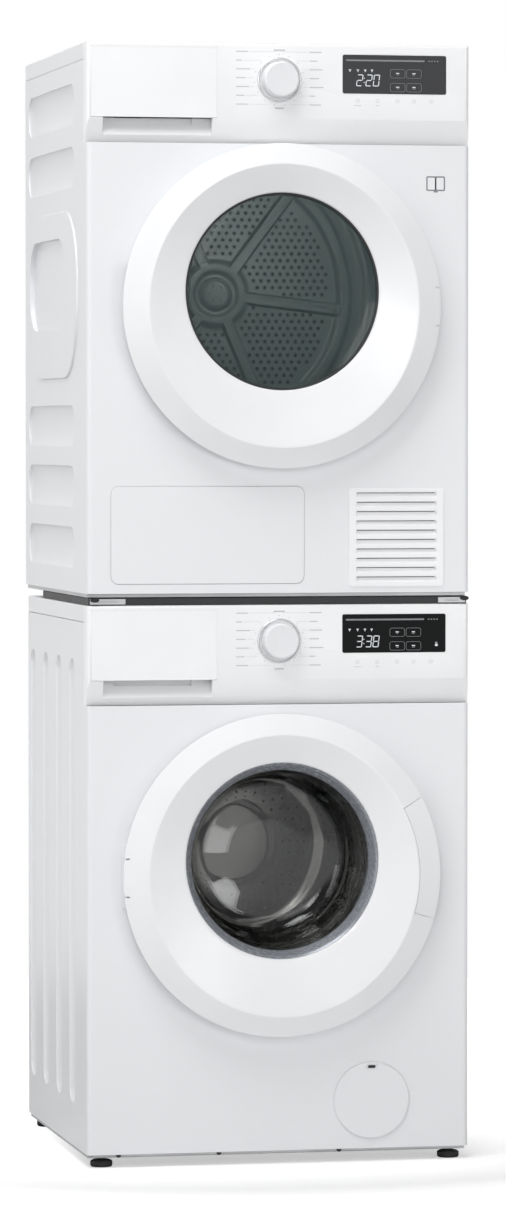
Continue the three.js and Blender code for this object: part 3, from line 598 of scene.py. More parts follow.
def buildFascia(machine):
    f = fascia
    foot = shoulderHeight
    knee = foot + f["band"]
    top = cabinetHeight
    wall, depth, roof = f["wall"], f["depth"], top - 5
    behind = depth + 2
    face = [(f["setBack"], foot), (0, knee)] + arc(4, top - 4, 4, 180, 90, 5) + [(depth, top), (depth, foot)]
    body = prism(f"{machine}Fascia", face, "X", -halfWidth, halfWidth)
    # hollow from behind, with a wall left on each side of the drawer's opening
    inside = [(f["setBack"] + wall, foot + wall), (wall, knee), (wall, roof), (behind, roof),
              (behind, foot + wall)]
    left, right = f["bay"]
    for x0, x1 in ((-halfWidth + wall, left), (right, halfWidth - wall)):
        cut(body, prism("inside", inside, "X", x0, x1))
    cut(body, block("over", left - 0.2, right + 0.2, wall, behind, knee, roof))
    round8 = roundedRect(-halfWidth, halfWidth, 0, 200, cabinet["corner"], 8)
    cut(body, prism("round", round8, "Z", foot - 1, top + 1), "INTERSECT")
    # the finger recess: a sloping cup, then a deeper slot under the drawer's front
    lid = knee + 0.2
    cup = [(-2, foot + 3.2), (1.5, foot + 3.2), (4, foot + 5), (17, foot + 27), (20, foot + 33),
           (20, lid), (-2, lid)]
    cut(body, prism("cup", cup, "X", *f["cupX"]))
    slot = [(-2, knee - 9), (26, knee - 9), (26, lid), (-2, lid)]
    cut(body, prism("slot", slot, "X", *f["slotX"]))
    x0, x1 = f["front"]
    seam = f["seam"]
    cut(body, block("gate", x0 - seam, x1 + seam, -2, behind, knee, f["frontTop"] + seam))
    d = f["display"]
    cut(body, prism("pane", roundedRect(*d, 3), "Y", -2, 1.8))
    cut(body, prism("shaft", arc(0, f["knobZ"], 6, 0, 350, 23), "Y", -2, 9))
    soften(body, 0.45, 2, 32)
    smooth(body, 32)
    settle(body, machine, "cabinets", finish["plastic"], [f"{machine}_fascia"])

    collar = spun(f"{machine}KnobCollar", filleted([
        (f["collar"] + 0.3, -0.2, 0), (f["collar"] + 0.2, -2.4, 1), (f["collar"] - 1.2, -3.6, 0.8),
        (f["collar"] - 2.4, -2.8, 0.6), (f["collar"] - 2.8, -0.2, 0)]), 72, z=f["knobZ"])
    smooth(collar)
    settle(collar, machine, "cabinets", finish["chrome"])
    return body


buildFascia("washer")
buildFascia("dryer")
print("stage: fascias")


# knobs

knob = {"radius": 27.5, "proud": 22, "marker": (1.6, 9)}


def buildKnob(machine):
    r, front = knob["radius"], -knob["proud"]
    body = spun(f"{machine}Knob", filleted([
        (0, front + 0.6, 0), (r - 7, front + 0.2, 2), (r - 2.2, front, 1.4), (r - 0.4, front + 2.6, 1.2),
        (r + 0.5, -1, 0.6), (r - 2, -0.7, 0), (5, -0.7, 0), (5, 12, 0), (0, 12, 0)]), 72, closed=False)
    w, length = knob["marker"]
    tip = r - 4
    marker = roundedRect(-w / 2, w / 2, tip - length, tip, w / 2 - 0.05, 4)
    cut(body, prism("marker", marker, "Y", front - 1, front + 1))
    smooth(body, 30)
    settle(body, machine, f"{machine}_dial", dialFinish(machine), [f"{machine}_knob"],
           fascia["knobZ"])


def dialFinish(machine):
    centre = (0, 0, machineBase[machine] + fascia["knobZ"] * millimetre)
    return brushedDial(f"{machine}Dial", (0.80, 0.81, 0.83), centre)


buildKnob("washer")
buildKnob("dryer")


# displays and printed marks

segments = {
    "0": "abcdef", "1": "bc", "2": "abged", "3": "abgcd", "4": "fgbc", "5": "afgcd", "6": "afgedc",
    "7": "abc", "8": "abcdefg", "9": "abfgcd",
}
digit = {"height": 18, "width": 9.6, "bar": 1.3, "slant": 0.12, "places": (119.5, 134, 145.6)}
display = {
    "thick": 0.12, "boxX": (173, 198.6), "boxZ": (786, 765), "boxSize": (23.6, 13.4), "line": 0.5,
    "signs": ((110, 797), (122.5, 797), (134, 797), (144.5, 797)), "strip": (104, 227, 811.2, 813.6),
    "lock": (246.5, 771),
}


def bar(x0, x1, z0, z1, y=0.0):
    # a printed mark is a thin plate with slightly rounded corners
    half = display["thick"]
    return prism("bar", roundedRect(x0, x1, z0, z1, min(x1 - x0, z1 - z0) * 0.3, 2), "Y", y - half, y)


def digitBars(sign, x, z, y):
    h, w, b = digit["height"], digit["width"], digit["bar"]
    middle = z + h / 2
    strokes = {
        "a": (x + b, x + w - b, z + h - b, z + h),
        "g": (x + b, x + w - b, middle - b / 2, middle + b / 2),
        "d": (x + b, x + w - b, z, z + b),
        "f": (x, x + b, middle + b / 2, z + h - b / 2),
        "b": (x + w - b, x + w, middle + b / 2, z + h - b / 2),
        "e": (x, x + b, z + b / 2, middle - b / 2),
        "c": (x + w - b, x + w, z + b / 2, middle - b / 2),
    }
    bars = [bar(*strokes[key], y) for key in segments[sign]]
    for piece in bars:
        for vertex in piece.data.vertices:
            vertex.co.x += (vertex.co.z - z) * digit["slant"]
    return bars


def outlineBox(x0, x1, z0, z1, line, radius, y):
    frameRing = prism("box", roundedRect(x0, x1, z0, z1, radius, 4), "Y", y - display["thick"], y)
    inner = roundedRect(x0 + line, x1 - line, z0 + line, z1 - line, max(radius - line, 0.2), 4)
    return cut(frameRing, prism("hollow", inner, "Y", y - 1, y + 1))


def buildDisplay(machine, time, paneFinish, low):
    x0, x1, z0, z1 = fascia["display"]
    edge = roundedRect(x0 + 0.3, x1 - 0.3, z0 + 0.3, z1 - 0.3, 2.7, 6)
    pane = prism(f"{machine}Display", edge, "Y", -0.4, 1.5)
    soften(pane, 0.35, 2, 40)
    smooth(pane)
    settle(pane, machine, "cabinets", paneFinish, [f"{machine}_display"])
    d = display
    y = -0.42
    lit, dim = [], []
    for sign, x in zip(time, digit["places"]):
        lit += digitBars(sign, x, low, y)
    for z in (low + 5, low + 11.5):
        lit.append(bar(digit["places"][0] + 12, digit["places"][0] + 13.5, z, z + 1.5, y))
    for x, z in d["signs"]:
        lit.append(bar(x - 1.8, x + 1.8, z, z + 1.5, y))
        lit.append(bar(x - 0.7, x + 0.7, z - 2.2, z - 0.4, y))
    w, h = d["boxSize"]
    for i, x in enumerate(d["boxX"]):
        for j, z in enumerate(d["boxZ"]):
            dim.append(outlineBox(x, x + w, z, z + h, d["line"], 3, y))
            lit.append(bar(x + w / 2 - 2.6, x + w / 2 + 2.6, z + h / 2 - 0.2, z + h / 2 + 1.2, y))
            dim.append(bar(x + w / 2 - 1.4 - i, x + w / 2 + 1.4 + j, z + h / 2 - 2.4, z + h / 2 - 1.2, y))
    a, b, low2, high = d["strip"]
    dim.append(bar(a, b, low2, high, y))
    for i in range(4):
        dim.append(bar(b + 6 + i * 4.4, b + 8.6 + i * 4.4, low2 + 0.4, high - 0.4, y))
    if machine == "washer":
        lx, lz = d["lock"]
        lit.append(bar(lx - 2.2, lx + 2.2, lz, lz + 3.2, y))
        lit.append(outlineBox(lx - 1.5, lx + 1.5, lz + 2.8, lz + 6.4, 0.6, 1.4, y))
    settle(merge(f"{machine}DisplaySigns", lit), machine, "cabinets", finish["lit"])
    settle(merge(f"{machine}DisplayFrames", dim), machine, "cabinets", finish["dim"])


marks = {
    "rows": [823.6, 810.2, 797, 783.6, 770.2, 757, 743.6], "left": -67, "right": 46, "thick": 1.5,
    "lengths": [18, 9, 22, 15, 20, 13, 19],
    "keys": [122.5, 153.5, 184.7, 210.5, 237.9], "keyZ": {"washer": 747.5, "dryer": 751},
}


def buildMarks(machine):
    m = marks
    words, lines, keys = [], [], []
    keyZ = m["keyZ"][machine]
    half = m["thick"] / 2
    lengths = m["lengths"]
    for i, z in enumerate(m["rows"]):
        a = m["left"] + lengths[i]
        words.append(bar(m["left"], a, z - half, z + half))
        b = m["right"] + 1
        words.append(bar(b, b + lengths[-1 - i], z - half, z + half))
        reach = -math.sqrt(max(42 ** 2 - (z - fascia["knobZ"]) ** 2, 49)) + 2
        if reach > a + 3:
            lines.append(bar(a + 2, reach, z - 0.3, z + 0.3))
        start = -reach - 1 if -reach < m["right"] - 3 else m["right"] - 3
        lines.append(bar(start, m["right"] - 1, z - 0.3, z + 0.3))
    for turn in range(0, 360, 24):
        a = math.radians(turn + 90)
        x, z = 38.6 * math.cos(a), fascia["knobZ"] + 38.6 * math.sin(a)
        words.append(bar(x - 0.7, x + 0.7, z - 0.7, z + 0.7))
    for x0, x1, z in ((-9, 9, 826), (-7, 7, 738)):
        words.append(bar(x0, x1, z - 1.1, z + 1.1))
    for i, x in enumerate(m["keys"]):
        keys.append(spun("key", [(3.1, -0.12), (3.1, 0), (2.3, 0), (2.3, -0.12)], 28, x=x, z=keyZ))
        keys.append(bar(x - 1.2, x + 1.2, keyZ - 0.5, keyZ + 0.5))
        if i < 2:
            keys.append(bar(x - 6 + 3 * i, x + 6 - 3 * i, keyZ - 8, keyZ - 6.8))
    settle(merge(f"{machine}PrintedMarks", words), machine, "cabinets", finish["print"])
    settle(merge(f"{machine}TouchKeys", keys), machine, "cabinets", finish["printLight"])
    settle(merge(f"{machine}PrintedLines", lines), machine, "cabinets", finish["printLight"])


buildDisplay("washer", "338", finish["displayBlack"], 770)
buildDisplay("dryer", "220", finish["displayGrey"], 773)
buildMarks("washer")
buildMarks("dryer")
print("stage: controls")


# detergent drawer and water tank

slider = {"x": (-285, -104), "z": (746, 800), "start": 7, "wall": 2.5, "drawer": 235, "tank": 440}


def sliderFront(name):
    x0, x1 = fascia["front"]
    knee = shoulderHeight + fascia["band"] + 0.4
    slab = prism(name, roundedRect(x0, x1, knee, fascia["frontTop"], 1.5, 3), "Y", 0, 4)
    cut(slab, block("finger", fascia["slotX"][0], fascia["slotX"][1], 2, 6, knee - 1, knee + 8))
    soften(slab, 0.2, 2, 40)
    return slab


def buildDrawer():
    s = slider
    x0, x1 = s["x"]
    z0, z1 = s["z"]
    front = smooth(sliderFront("drawerFront"))
    settle(front, "washer", "washer_drawer", finish["plastic"],
           ["washer_detergent_drawer"])
    tray = block("drawerTray", x0, x1, 4.3, s["start"] + s["drawer"], z0, z1)
    wall = s["wall"]
    for a, b in ((x0 + wall, -226), (-226 + wall, -164), (-164 + wall, x1 - wall)):
        cut(tray, block("cell", a, b, 9.5, s["start"] + s["drawer"] - wall, z0 + wall, z1 + 1))
    soften(tray, 0.9, 2, 40)
    settle(smooth(tray), "washer", "washer_drawer", finish["tray"])
    insert = block("softenerLid", -225.6 + 2.8, -164.4, 60, 150, z1 - 9, z1 - 5)
    soften(insert, 1.2, 3)
    settle(smooth(insert), "washer", "washer_drawer", finish["greyPlastic"])


def buildTank():
    s = slider
    x0, x1 = s["x"]
    z0, z1 = s["z"]
    front = smooth(sliderFront("tankFront"))
    settle(front, "dryer", "dryer_tank", finish["plastic"], ["dryer_water_tank"])
    end = s["start"] + s["tank"]
    tank = block("waterTank", x0, x1, 4.3, end, z0, z1)
    soften(tank, 6, 4, 40)
    cut(tank, prism("spout", arc(-150, end - 45, 14, 0, 350, 35), "Z", z1 - 12, z1 + 2))
    for i in range(5):
        y = 60 + i * 68
        cut(tank, block("rib", x0 + 16, x1 - 16, y, y + 8, z1 - 2.2, z1 + 2))
    soften(tank, 0.6, 2, 40)
    settle(smooth(tank), "dryer", "dryer_tank", finish["tray"])
    ring = spun("tankSpoutRing", [(16, -2), (16, 0.6), (13, 0.6), (13, -2)], 40)
    upright = Matrix.Rotation(math.radians(90), 4, "X")
    ring.data.transform(Matrix.Translation((-150, end - 45, z1)) @ upright)
    settle(smooth(ring), "dryer", "dryer_tank", finish["greyPlastic"])


buildDrawer()
buildTank()
print("stage: drawers")


# doors

door = {
    "rim": 247, "rimProud": 26, "crestX": 209, "crestZ": 215, "proud": 42, "window": 150, "windowProud": 24,
    "lever": (-16.5, 28.5), "leverInner": 213, "grip": (166, 200),
}
crestMean = (door["crestX"] + door["crestZ"]) / 2


def warpDoor(piece):
    # stretches the crest to its oval and lifts the window's side of the dish
    for vertex in piece.data.vertices:
        x, z = vertex.co.x, vertex.co.z
        radius = math.hypot(x, z)
        outward = (radius - crestMean) / (door["rim"] - crestMean)
        inward = (crestMean - radius) / (crestMean - door["window"])
        oval = 1 - max(0.0, outward if radius > crestMean else inward)
        oval = max(0.0, oval)
        rise = windowRise * min(1.0, max(0.0, inward))
        vertex.co.x = x * (1 + oval * (door["crestX"] / crestMean - 1))
        vertex.co.z = z * (1 + oval * (door["crestZ"] / crestMean - 1)) + rise
    return piece


def doorProfile():
    d = door
    return filleted([
        (d["rim"] - 7, -4, 0), (d["rim"] - 0.4, -d["rimProud"] + 1, 2.2), (d["rim"], -d["rimProud"] - 1, 2),
        (crestMean + 1, -d["proud"], 5), (crestMean - 1, -d["proud"], 5),
        (d["window"] + 3, -d["windowProud"] - 2.2, 1.5), (d["window"], -d["windowProud"] - 0.5, 1.2),
        (d["window"], -6, 0), (d["window"] + 3, -4, 0), (d["window"] + 9, -4, 0),
        (d["window"] + 9, -d["windowProud"] + 3, 0), (crestMean, -d["proud"] + 5, 6),
        (d["rim"] - 3.6, -d["rimProud"] + 2, 0), (d["rim"] - 10, -4, 0)], 5)


def sector(name, start, end, inner, outer, y0, y1):
    outline = arc(0, 0, outer, start, end, 24) + arc(0, 0, inner, end, start, 24)
    return prism(name, outline, "Y", y0, y1)


def skinBlank(name):
    # the door's outer surface over a flat back, to cut the lever from
    d = door
    return spun(name, filleted([
        (d["rim"] - 7, -4, 0), (d["rim"] - 0.4, -d["rimProud"] + 1, 2.2), (d["rim"], -d["rimProud"] - 1, 2),
        (crestMean + 1, -d["proud"], 5), (crestMean - 1, -d["proud"], 5),
        (190, -37, 0), (190, -4, 0)], 5), 144)


hinge = {"x": 234, "proud": 20, "strap": 2.4, "strapZ": 29, "slot": 1.4}


def hingeNotches(piece, side):
    h = hinge
    lo, hi = (-262, -226) if side < 0 else (226, 262)
    for z in (h["strapZ"], -h["strapZ"]):
        half = h["slot"]
        cut(piece, block("notch", lo, hi, -30, 2, z - half, z + half))


def buildDoorRing(machine):
    d = door
    ring = spun(f"{machine}DoorRing", doorProfile(), 144)
    if machine == "washer":
        warpDoor(ring)
        floor = warpDoor(skinBlank("pocketFill"))
        a, b = d["lever"]
        cut(floor, sector("wall", a - 1, b + 1, d["leverInner"] - 6, 262, -60, 0), "INTERSECT")
        cut(ring, floor, "UNION")
        cut(ring, sector("pocket", a, b, d["leverInner"] - 2, 262, -60, -6.5))
        hingeNotches(ring, -1)
    else:
        a, b = d["grip"]
        warpDoor(ring)
        floor = warpDoor(skinBlank("gripFill"))
        cut(floor, sector("wall", a - 2, b + 2, 219, 262, -22, 0), "INTERSECT")
        cut(ring, floor, "UNION")
        cut(ring, sector("grip", a, b, 222, 262, -19, 0))
        hingeNotches(ring, 1)
    soften(ring, 0.5, 2, 38)
    smooth(ring, 28)
    settle(ring, machine, f"{machine}_door", finish["door"], [f"{machine}_door_ring"],
           doorHeight[machine])


def buildLever():
    d = door
    a, b = d["lever"]
    lever = warpDoor(skinBlank("doorLever"))
    back = warpDoor(skinBlank("leverBack"))
    back.data.transform(Matrix.Translation((0, 6, 0)))
    cut(lever, back)
    side = 0.2
    cut(lever, sector("slice", a + side, b - side, d["leverInner"] - 1.4, 262, -60, -17), "INTERSECT")
    soften(lever, 0.5, 2, 38)
    smooth(lever, 28)
    settle(lever, "washer", "washer_door_lever", finish["lever"], ["washer_door_handle"],
           doorHeight["washer"])


def buildDoorBack(machine):
    side = -1 if machine == "washer" else 1
    plug = 3 if machine == "washer" else 18
    ring = spun(f"{machine}DoorBack", filleted([
        (236, -3.6, 0), (236, -1.4, 1), (167, -1.4, 2), (162, plug, 2), (156, plug, 1.5),
        (156, -3.6, 0)]), 96)
    for vertex in ring.data.vertices:
        radius = math.hypot(vertex.co.x, vertex.co.z)
        if radius < 200:
            vertex.co.z += windowRise
    x = side * hinge["x"]
    cut(ring, block("relief", x - 16, x + 16, -12, 1, -54, 54))
    if machine == "washer":
        cut(ring, block("hook", 198, 206, -3, 14, -8, 8), "UNION")
        cut(ring, block("barb", 194, 206, 9, 14, -8, 8), "UNION")
    else:
        a, b = door["grip"]
        cut(ring, sector("grip", a - 1, b + 1, 219, 262, -19, 4))
    soften(ring, 0.4, 2, 40)
    smooth(ring, 30)
    settle(ring, machine, f"{machine}_door", finish["greyPlastic"],
           [f"{machine}_door_back"], doorHeight[machine])


def buildWasherWindow():
    z = windowHeight["washer"]
    trim = spun("windowTrim", filleted([
        (149.6, -24.2, 1), (146, -20, 2), (138.5, -8, 2), (138, -5, 0), (152, -5, 0), (149.9, -20, 0)]), 128)
    smooth(trim, 40)
    settle(trim, "washer", "washer_door", finish["trim"], ["washer_door_trim"], z)
    bowl = spun("doorBowl", filleted([
        (152, -4.6, 0), (152, 0.6, 0), (144, 0.6, 2), (139, 48, 6), (128, 88, 10), (108, 104, 12),
        (60, 110, 12), (0, 111, 0), (0, 106, 0), (58, 105, 12), (104, 99, 12), (122, 85, 10),
        (133, 46, 6), (137, -4.6, 0)], 4), 96)
    smooth(bowl, 60)
    settle(bowl, "washer", "washer_door", finish["bowl"], ["washer_door_bowl"], z)


def buildDryerWindow():
    z = windowHeight["dryer"]
    glass = spun("dryerGlass", filleted([
        (0, -24.4, 0), (132, -23.2, 8), (149.2, -21.8, 1), (149.6, -19.4, 0), (132, -20.6, 6),
        (0, -21.8, 0)]), 96, closed=False)
    smooth(glass, 50)
    settle(glass, "dryer", "dryer_door", finish["smoked"], ["dryer_door_glass"], z)
    rim = spun("dryerWindowRim", filleted([
        (149.8, -24.6, 0.4), (146.6, -23.6, 0.6), (146, -19, 0), (149.8, -19, 0)]), 128)
    smooth(rim, 40)
    settle(rim, "dryer", "dryer_door", finish["darkPlastic"], (), z)


def buildHinge(machine):
    side = -1 if machine == "washer" else 1
    h = hinge
    x = side * h["x"]
    plate = prism(f"{machine}HingePlate", roundedRect(x - 11, x + 11, -48, 48, 4), "Y", -2.6, -0.3)
    for z in (h["strapZ"], -h["strapZ"]):
        ear = prism("ear", [(x - 4, -1)] + arc(x, -h["proud"], 4.6, 180, 360, 10) + [(x + 4, -1)], "Z",
                    z - h["strap"] / 2, z + h["strap"] / 2)
        cut(plate, ear, "UNION")
    for z in (42, -42):
        head = filleted([(0, -5, 0), (3.2, -4.6, 1), (3.6, -2.7, 0), (0, -2.5, 0)])
        cut(plate, spun("screw", head, 24, closed=False, x=x, z=z), "UNION")
    pin = prism("pin", arc(x, -h["proud"], 2.6, 0, 350, 23), "Z", -33, 33)
    cut(plate, pin, "UNION")
    soften(plate, 0.3, 2, 40)
    smooth(plate, 35)
    settle(plate, machine, "cabinets", finish["enamel"], [f"{machine}_door_hinge"],
           doorHeight[machine])


for name in ("washer", "dryer"):
    buildDoorRing(name)
    buildDoorBack(name)
    buildHinge(name)
buildLever()
buildWasherWindow()
buildDryerWindow()
print("stage: doors")


# drums and what is seen through the doors

drum = {"radius": 236, "front": 73, "back": 373, "mouth": 160}


def holePattern(name, spots, radius, depth=0.25):
    # one eight-sided dimple, copied to each spot with its own turn
    points, faces = [], []
    for spot, inward, up in spots:
        across = inward.cross(up).normalized()
        start = len(points)
        for i in range(8):
            a = 2 * math.pi * i / 8
            points.append(spot + (across * math.cos(a) + up * math.sin(a)) * radius + inward * depth)
        points.append(spot - inward * 0.2)
        faces.append(tuple(range(start, start + 8)))
        faces += [(start + (i + 1) % 8, start + i, start + 8) for i in range(8)]
    return meshPiece(name, points, (), faces)


def wallSpots(radius, y0, y1, rows, around, skips):
    spots = []
    for row in range(rows):
        y = y0 + (y1 - y0) * row / (rows - 1)
        for i in range(around):
            turn = 360 * (i + 0.5 * (row % 2)) / around
            if any(abs((turn - s + 180) % 360 - 180) < 10 for s in skips):
                continue
            a = math.radians(turn)
            spots.append((Vector((radius * math.cos(a), y, radius * math.sin(a))),
                          Vector((-math.cos(a), 0, -math.sin(a))), Vector((0, 1, 0))))
    return spots


def backSpots(y, spacing, rings):
    spots = []
    for radius in rings:
        around = round(radius / spacing)
        for i in range(around):
            a = math.radians(360 * i / around)
            spots.append((Vector((radius * math.cos(a), y, radius * math.sin(a))),
                          Vector((0, -1, 0)), Vector((0, 0, 1))))
    return spots


def buildWasherDrum():
    r, front, rear, mouth = drum["radius"], drum["front"], drum["back"], drum["mouth"]
    z = windowHeight["washer"]
    shell = spun("washerDrum", filleted([
        (r, rear, 0), (r, front + 1, 4), (214, front - 4, 6), (190, front - 10, 6),
        (mouth + 1, front - 14, 1.5), (mouth, front - 9, 1), (190, front - 8, 6),
        (212, front - 2, 6), (r - 2, front + 3, 4), (r - 2, rear, 0)]), 96)
    smooth(shell, 40)
    settle(shell, "washer", "washer_drum", finish["drum"], ["washer_drum_shell"], z)
    spots = wallSpots(r - 2, front + 22, rear - 14, 15, 84, (270, 150, 30))
    # the dimples are painted dark: painted shade seen through the drum's perforations
    holes = holePattern("washerDrumHoles", spots, 1.8)
    settle(holes, "washer", "washer_drum", finish["hole"], (), z)
    back = spun("washerDrumBack", filleted([
        (r - 2.4, rear - 1, 0), (222, rear - 1, 3), (214, rear - 7, 4), (150, rear - 7, 5),
        (138, rear - 2, 5), (70, rear - 2, 4), (62, rear - 6, 4), (0, rear - 6, 0)], 4), 96, closed=False)
    modifier(back, "SOLIDIFY", thickness=1.2, offset=1)
    smooth(back, 40)
    settle(back, "washer", "washer_drum", finish["drumBack"], (), z)
    spots = backSpots(rear - 7.3, 2.6, range(160, 212, 12)) + backSpots(rear - 2.3, 3, range(84, 132, 12))
    # painted shade again, for the perforations in the drum's back
    holes = holePattern("washerBackHoles", spots, 2.0)
    settle(holes, "washer", "washer_drum", finish["hole"], (), z)
    for i, turn in enumerate((0, 120, 240)):
        side = [(-31, -232), (-22, -230), (-14, -219), (-11, -198), (-7, -189)]
        outline = side + [(0, -186.5)] + [(-x, y) for x, y in reversed(side)]
        paddle = prism(f"washerPaddle{i + 1}", outline, "Y", front + 15, rear - 14)
        soften(paddle, 3.2, 4, 28)
        for k in range(7):
            cut(paddle, prism("hole", arc(0, front + 48 + k * 34, 5, 0, 340, 17), "Z", -200, -180))
        smooth(paddle, 40)
        paddle.data.transform(Matrix.Rotation(math.radians(turn), 4, "Y"))
        settle(paddle, "washer", "washer_drum", finish["greyPlastic"],
               [f"washer_paddle_{i + 1}"], z)
    gasket = spun("doorGasket", filleted([
        (174, 4, 0), (174, 10, 2), (168, 15, 3), (168, 24, 3), (178, 30, 4), (168, 37, 3), (168, 46, 2),
        (158, 46, 3), (158, 36, 3), (165, 28, 4), (158, 21, 3), (156, 8, 3), (160, 4, 2)], 4), 96)
    smooth(gasket, 60)
    settle(gasket, "washer", "cabinets", finish["gasket"], ["washer_gasket"], z)


rearWall = {
    "dish": 12, "rib": 4, "ribTurn": 53, "ribHalf": 7, "hubRing": 42, "holesFrom": 62, "holesTo": 188,
    "pitch": 12.6, "hole": 3.3,
}


def buildDryerDrum():
    r = 268
    y0, y1 = 36, 486
    low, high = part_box("dryer_drum_shell")
    z = ((low.z + high.z) / 2 - machineBase["dryer"]) / millimetre
    shell = spun("dryerDrum", filleted([
        (r - 14, y0, 0), (r - 13, y0 + 14, 4), (r, y0 + 24, 4), (r, y1 - 24, 4), (r - 13, y1 - 14, 4),
        (r - 14, y1, 0), (r - 15.4, y1, 0), (r - 14.4, y1 - 15, 4), (r - 1.4, y1 - 25, 4),
        (r - 1.4, y0 + 25, 4), (r - 14.4, y0 + 15, 4), (r - 15.4, y0, 0)]), 96)
    smooth(shell, 40)
    settle(shell, "dryer", "dryer_drum", finish["dryerDrum"], ["dryer_drum_shell"], z)
    for i, turn in enumerate((60, 180, 300)):
        side = [(-30, -r + 2), (-18, -r + 8), (-10, -r + 28), (-7, -r + 42)]
        outline = side + [(0, -r + 47)] + [(-x, y) for x, y in reversed(side)]
        vane = prism(f"dryerVane{i + 1}", outline, "Y", y0 + 40, y1 - 40)
        soften(vane, 4, 4, 28)
        smooth(vane, 50)
        vane.data.transform(Matrix.Rotation(math.radians(turn), 4, "Y"))
        settle(vane, "dryer", "dryer_drum", finish["drum"], (), z)
    buildRearWall(y1, z)
    buildRearHoles(y1 + rearWall["dish"], z)
    buildRearHub(y1, z)


def buildRearWall(y, z):
    w = rearWall
    dish, raised, ring = y + w["dish"], y + w["rib"], w["hubRing"]
    rear = spun("dryerRearWall", filleted([
        (260, y + 2, 0), (248, y + 3, 3), (242, y + 9, 3), (226, y + 9, 3), (220, y + 5, 3), (206, y + 5, 3),
        (200, dish, 4), (ring + 14, dish, 4), (ring + 6, raised, 3), (ring - 4, raised, 3),
        (ring - 10, dish - 2, 3), (0, dish - 4, 0)], 4), 120, closed=False)
    modifier(rear, "SOLIDIFY", thickness=1.2, offset=1)
    smooth(rear, 40)
    settle(rear, "dryer", "cabinets", finish["rear"], ["dryer_drum_rear_wall"], z)
    ribs = []
    for k in range(6):
        turn = w["ribTurn"] + 60 * k
        half, flank = w["ribHalf"], w["ribHalf"] + 4
        outline = [(-flank, dish + 1), (-flank, dish - 0.2), (-half, raised), (half, raised),
                   (flank, dish - 0.2), (flank, dish + 1)]
        rib = prism(f"dryerRib{k + 1}", outline, "Z", ring, 206)
        inner, floor = half - 3.4, raised + 1.4
        crease = [(-inner, 0), (-inner, floor), (inner, floor), (inner, 0)]
        cut(rib, prism("crease", crease, "Z", ring + 12, 198))
        soften(rib, 0.8, 2, 25)
        rib.data.transform(Matrix.Rotation(math.radians(90 - turn), 4, "Y"))
        ribs.append(rib)
    ribs = merge("dryerRearRibs", ribs)
    smooth(ribs, 40)
    settle(ribs, "dryer", "cabinets", finish["rear"], (), z)


def buildRearHoles(y, z):
    w = rearWall
    spots = []
    rows = math.ceil(w["holesTo"] / w["pitch"])
    for row in range(-rows, rows + 1):
        for column in range(-rows, rows + 1):
            x = (column + 0.5 * (row % 2)) * w["pitch"]
            up = row * w["pitch"] * 0.866
            if not w["holesFrom"] < math.hypot(x, up) < w["holesTo"]:
                continue
            turn = math.degrees(math.atan2(up, x)) - w["ribTurn"]
            offRib = math.hypot(x, up) * abs(math.sin(math.radians((turn + 30) % 60 - 30)))
            if offRib > w["ribHalf"] + 6:
                spots.append((Vector((x, y - 0.2, up)), Vector((0, -1, 0)), Vector((0, 0, 1))))
    # dark dimples: painted shade seen through the rear wall's perforations
    holes = holePattern("dryerRearHoles", spots, w["hole"])
    settle(holes, "dryer", "cabinets", finish["rearHole"], (), z)


def buildRearHub(y, z):
    dish = y + rearWall["dish"]
    hub = spun("dryerRearHub", filleted([
        (0, y + 3, 0), (20, y + 3.4, 3), (26, y + 7, 3), (29, dish, 0), (0, dish, 0)], 4), 72, closed=False)
    for k in range(6):
        a = math.radians(60 * k)
        cut(hub, prism("port", arc(13 * math.cos(a), 13 * math.sin(a), 3, 0, 340, 17), "Y", y - 8, y + 7))
    smooth(hub, 40)
    settle(hub, "dryer", "cabinets", finish["rear"], (), z)


buildWasherDrum()
buildDryerDrum()
print("stage: drums")


# small front pieces

def buildFilterCover():
    x, z = 145, 74
    cover = spun("filterCover", filleted([
        (0, -3.3, 0), (57, -3.3, 1.6), (59.3, -2, 0.8), (59.5, -0.3, 0), (0, -0.3, 0)], 4), 96, closed=False)
    cut(cover, prism("latch", roundedRect(-9, 9, 47.5, 56, 3, 5), "Y", -6, -1.5))
    cut(cover, block("tab", -7, 7, -1, 4, 44, 46.5), "UNION")
    soften(cover, 0.4, 2, 40)
    smooth(cover, 35)
    cover.data.transform(Matrix.Translation((x, 0, z)))
    settle(cover, "washer", "filter_cover", finish["enamel"], ["washer_filter_cover"])
    # a dark plate on the floor of the latch recess: painted shade in the recess
    shadow = prism("filterRecessShade", roundedRect(x - 6, x + 6, z + 49.5, z + 54, 2, 4), "Y", -1.9, -1.45)
    settle(shadow, "washer", "filter_cover", finish["darkPlastic"])
    edge = filleted([(61.6, -0.35, 0), (61.6, 0.1, 0), (60, 0.1, 0), (60, -0.35, 0)])
    seat = spun("filterSeat", edge, 96, x=x, z=z)
    settle(seat, "washer", "cabinets", finish["enamel"])


def buildAccessFlap():
    flap = prism("accessFlap", roundedRect(-260.8, 38.8, 14.5, 162.8, 12, 8), "Y", -0.8, 2.2)
    soften(flap, 0.9, 3, 40)
    smooth(flap)
    settle(flap, "dryer", "access_flap", finish["enamel"], ["dryer_access_flap"])


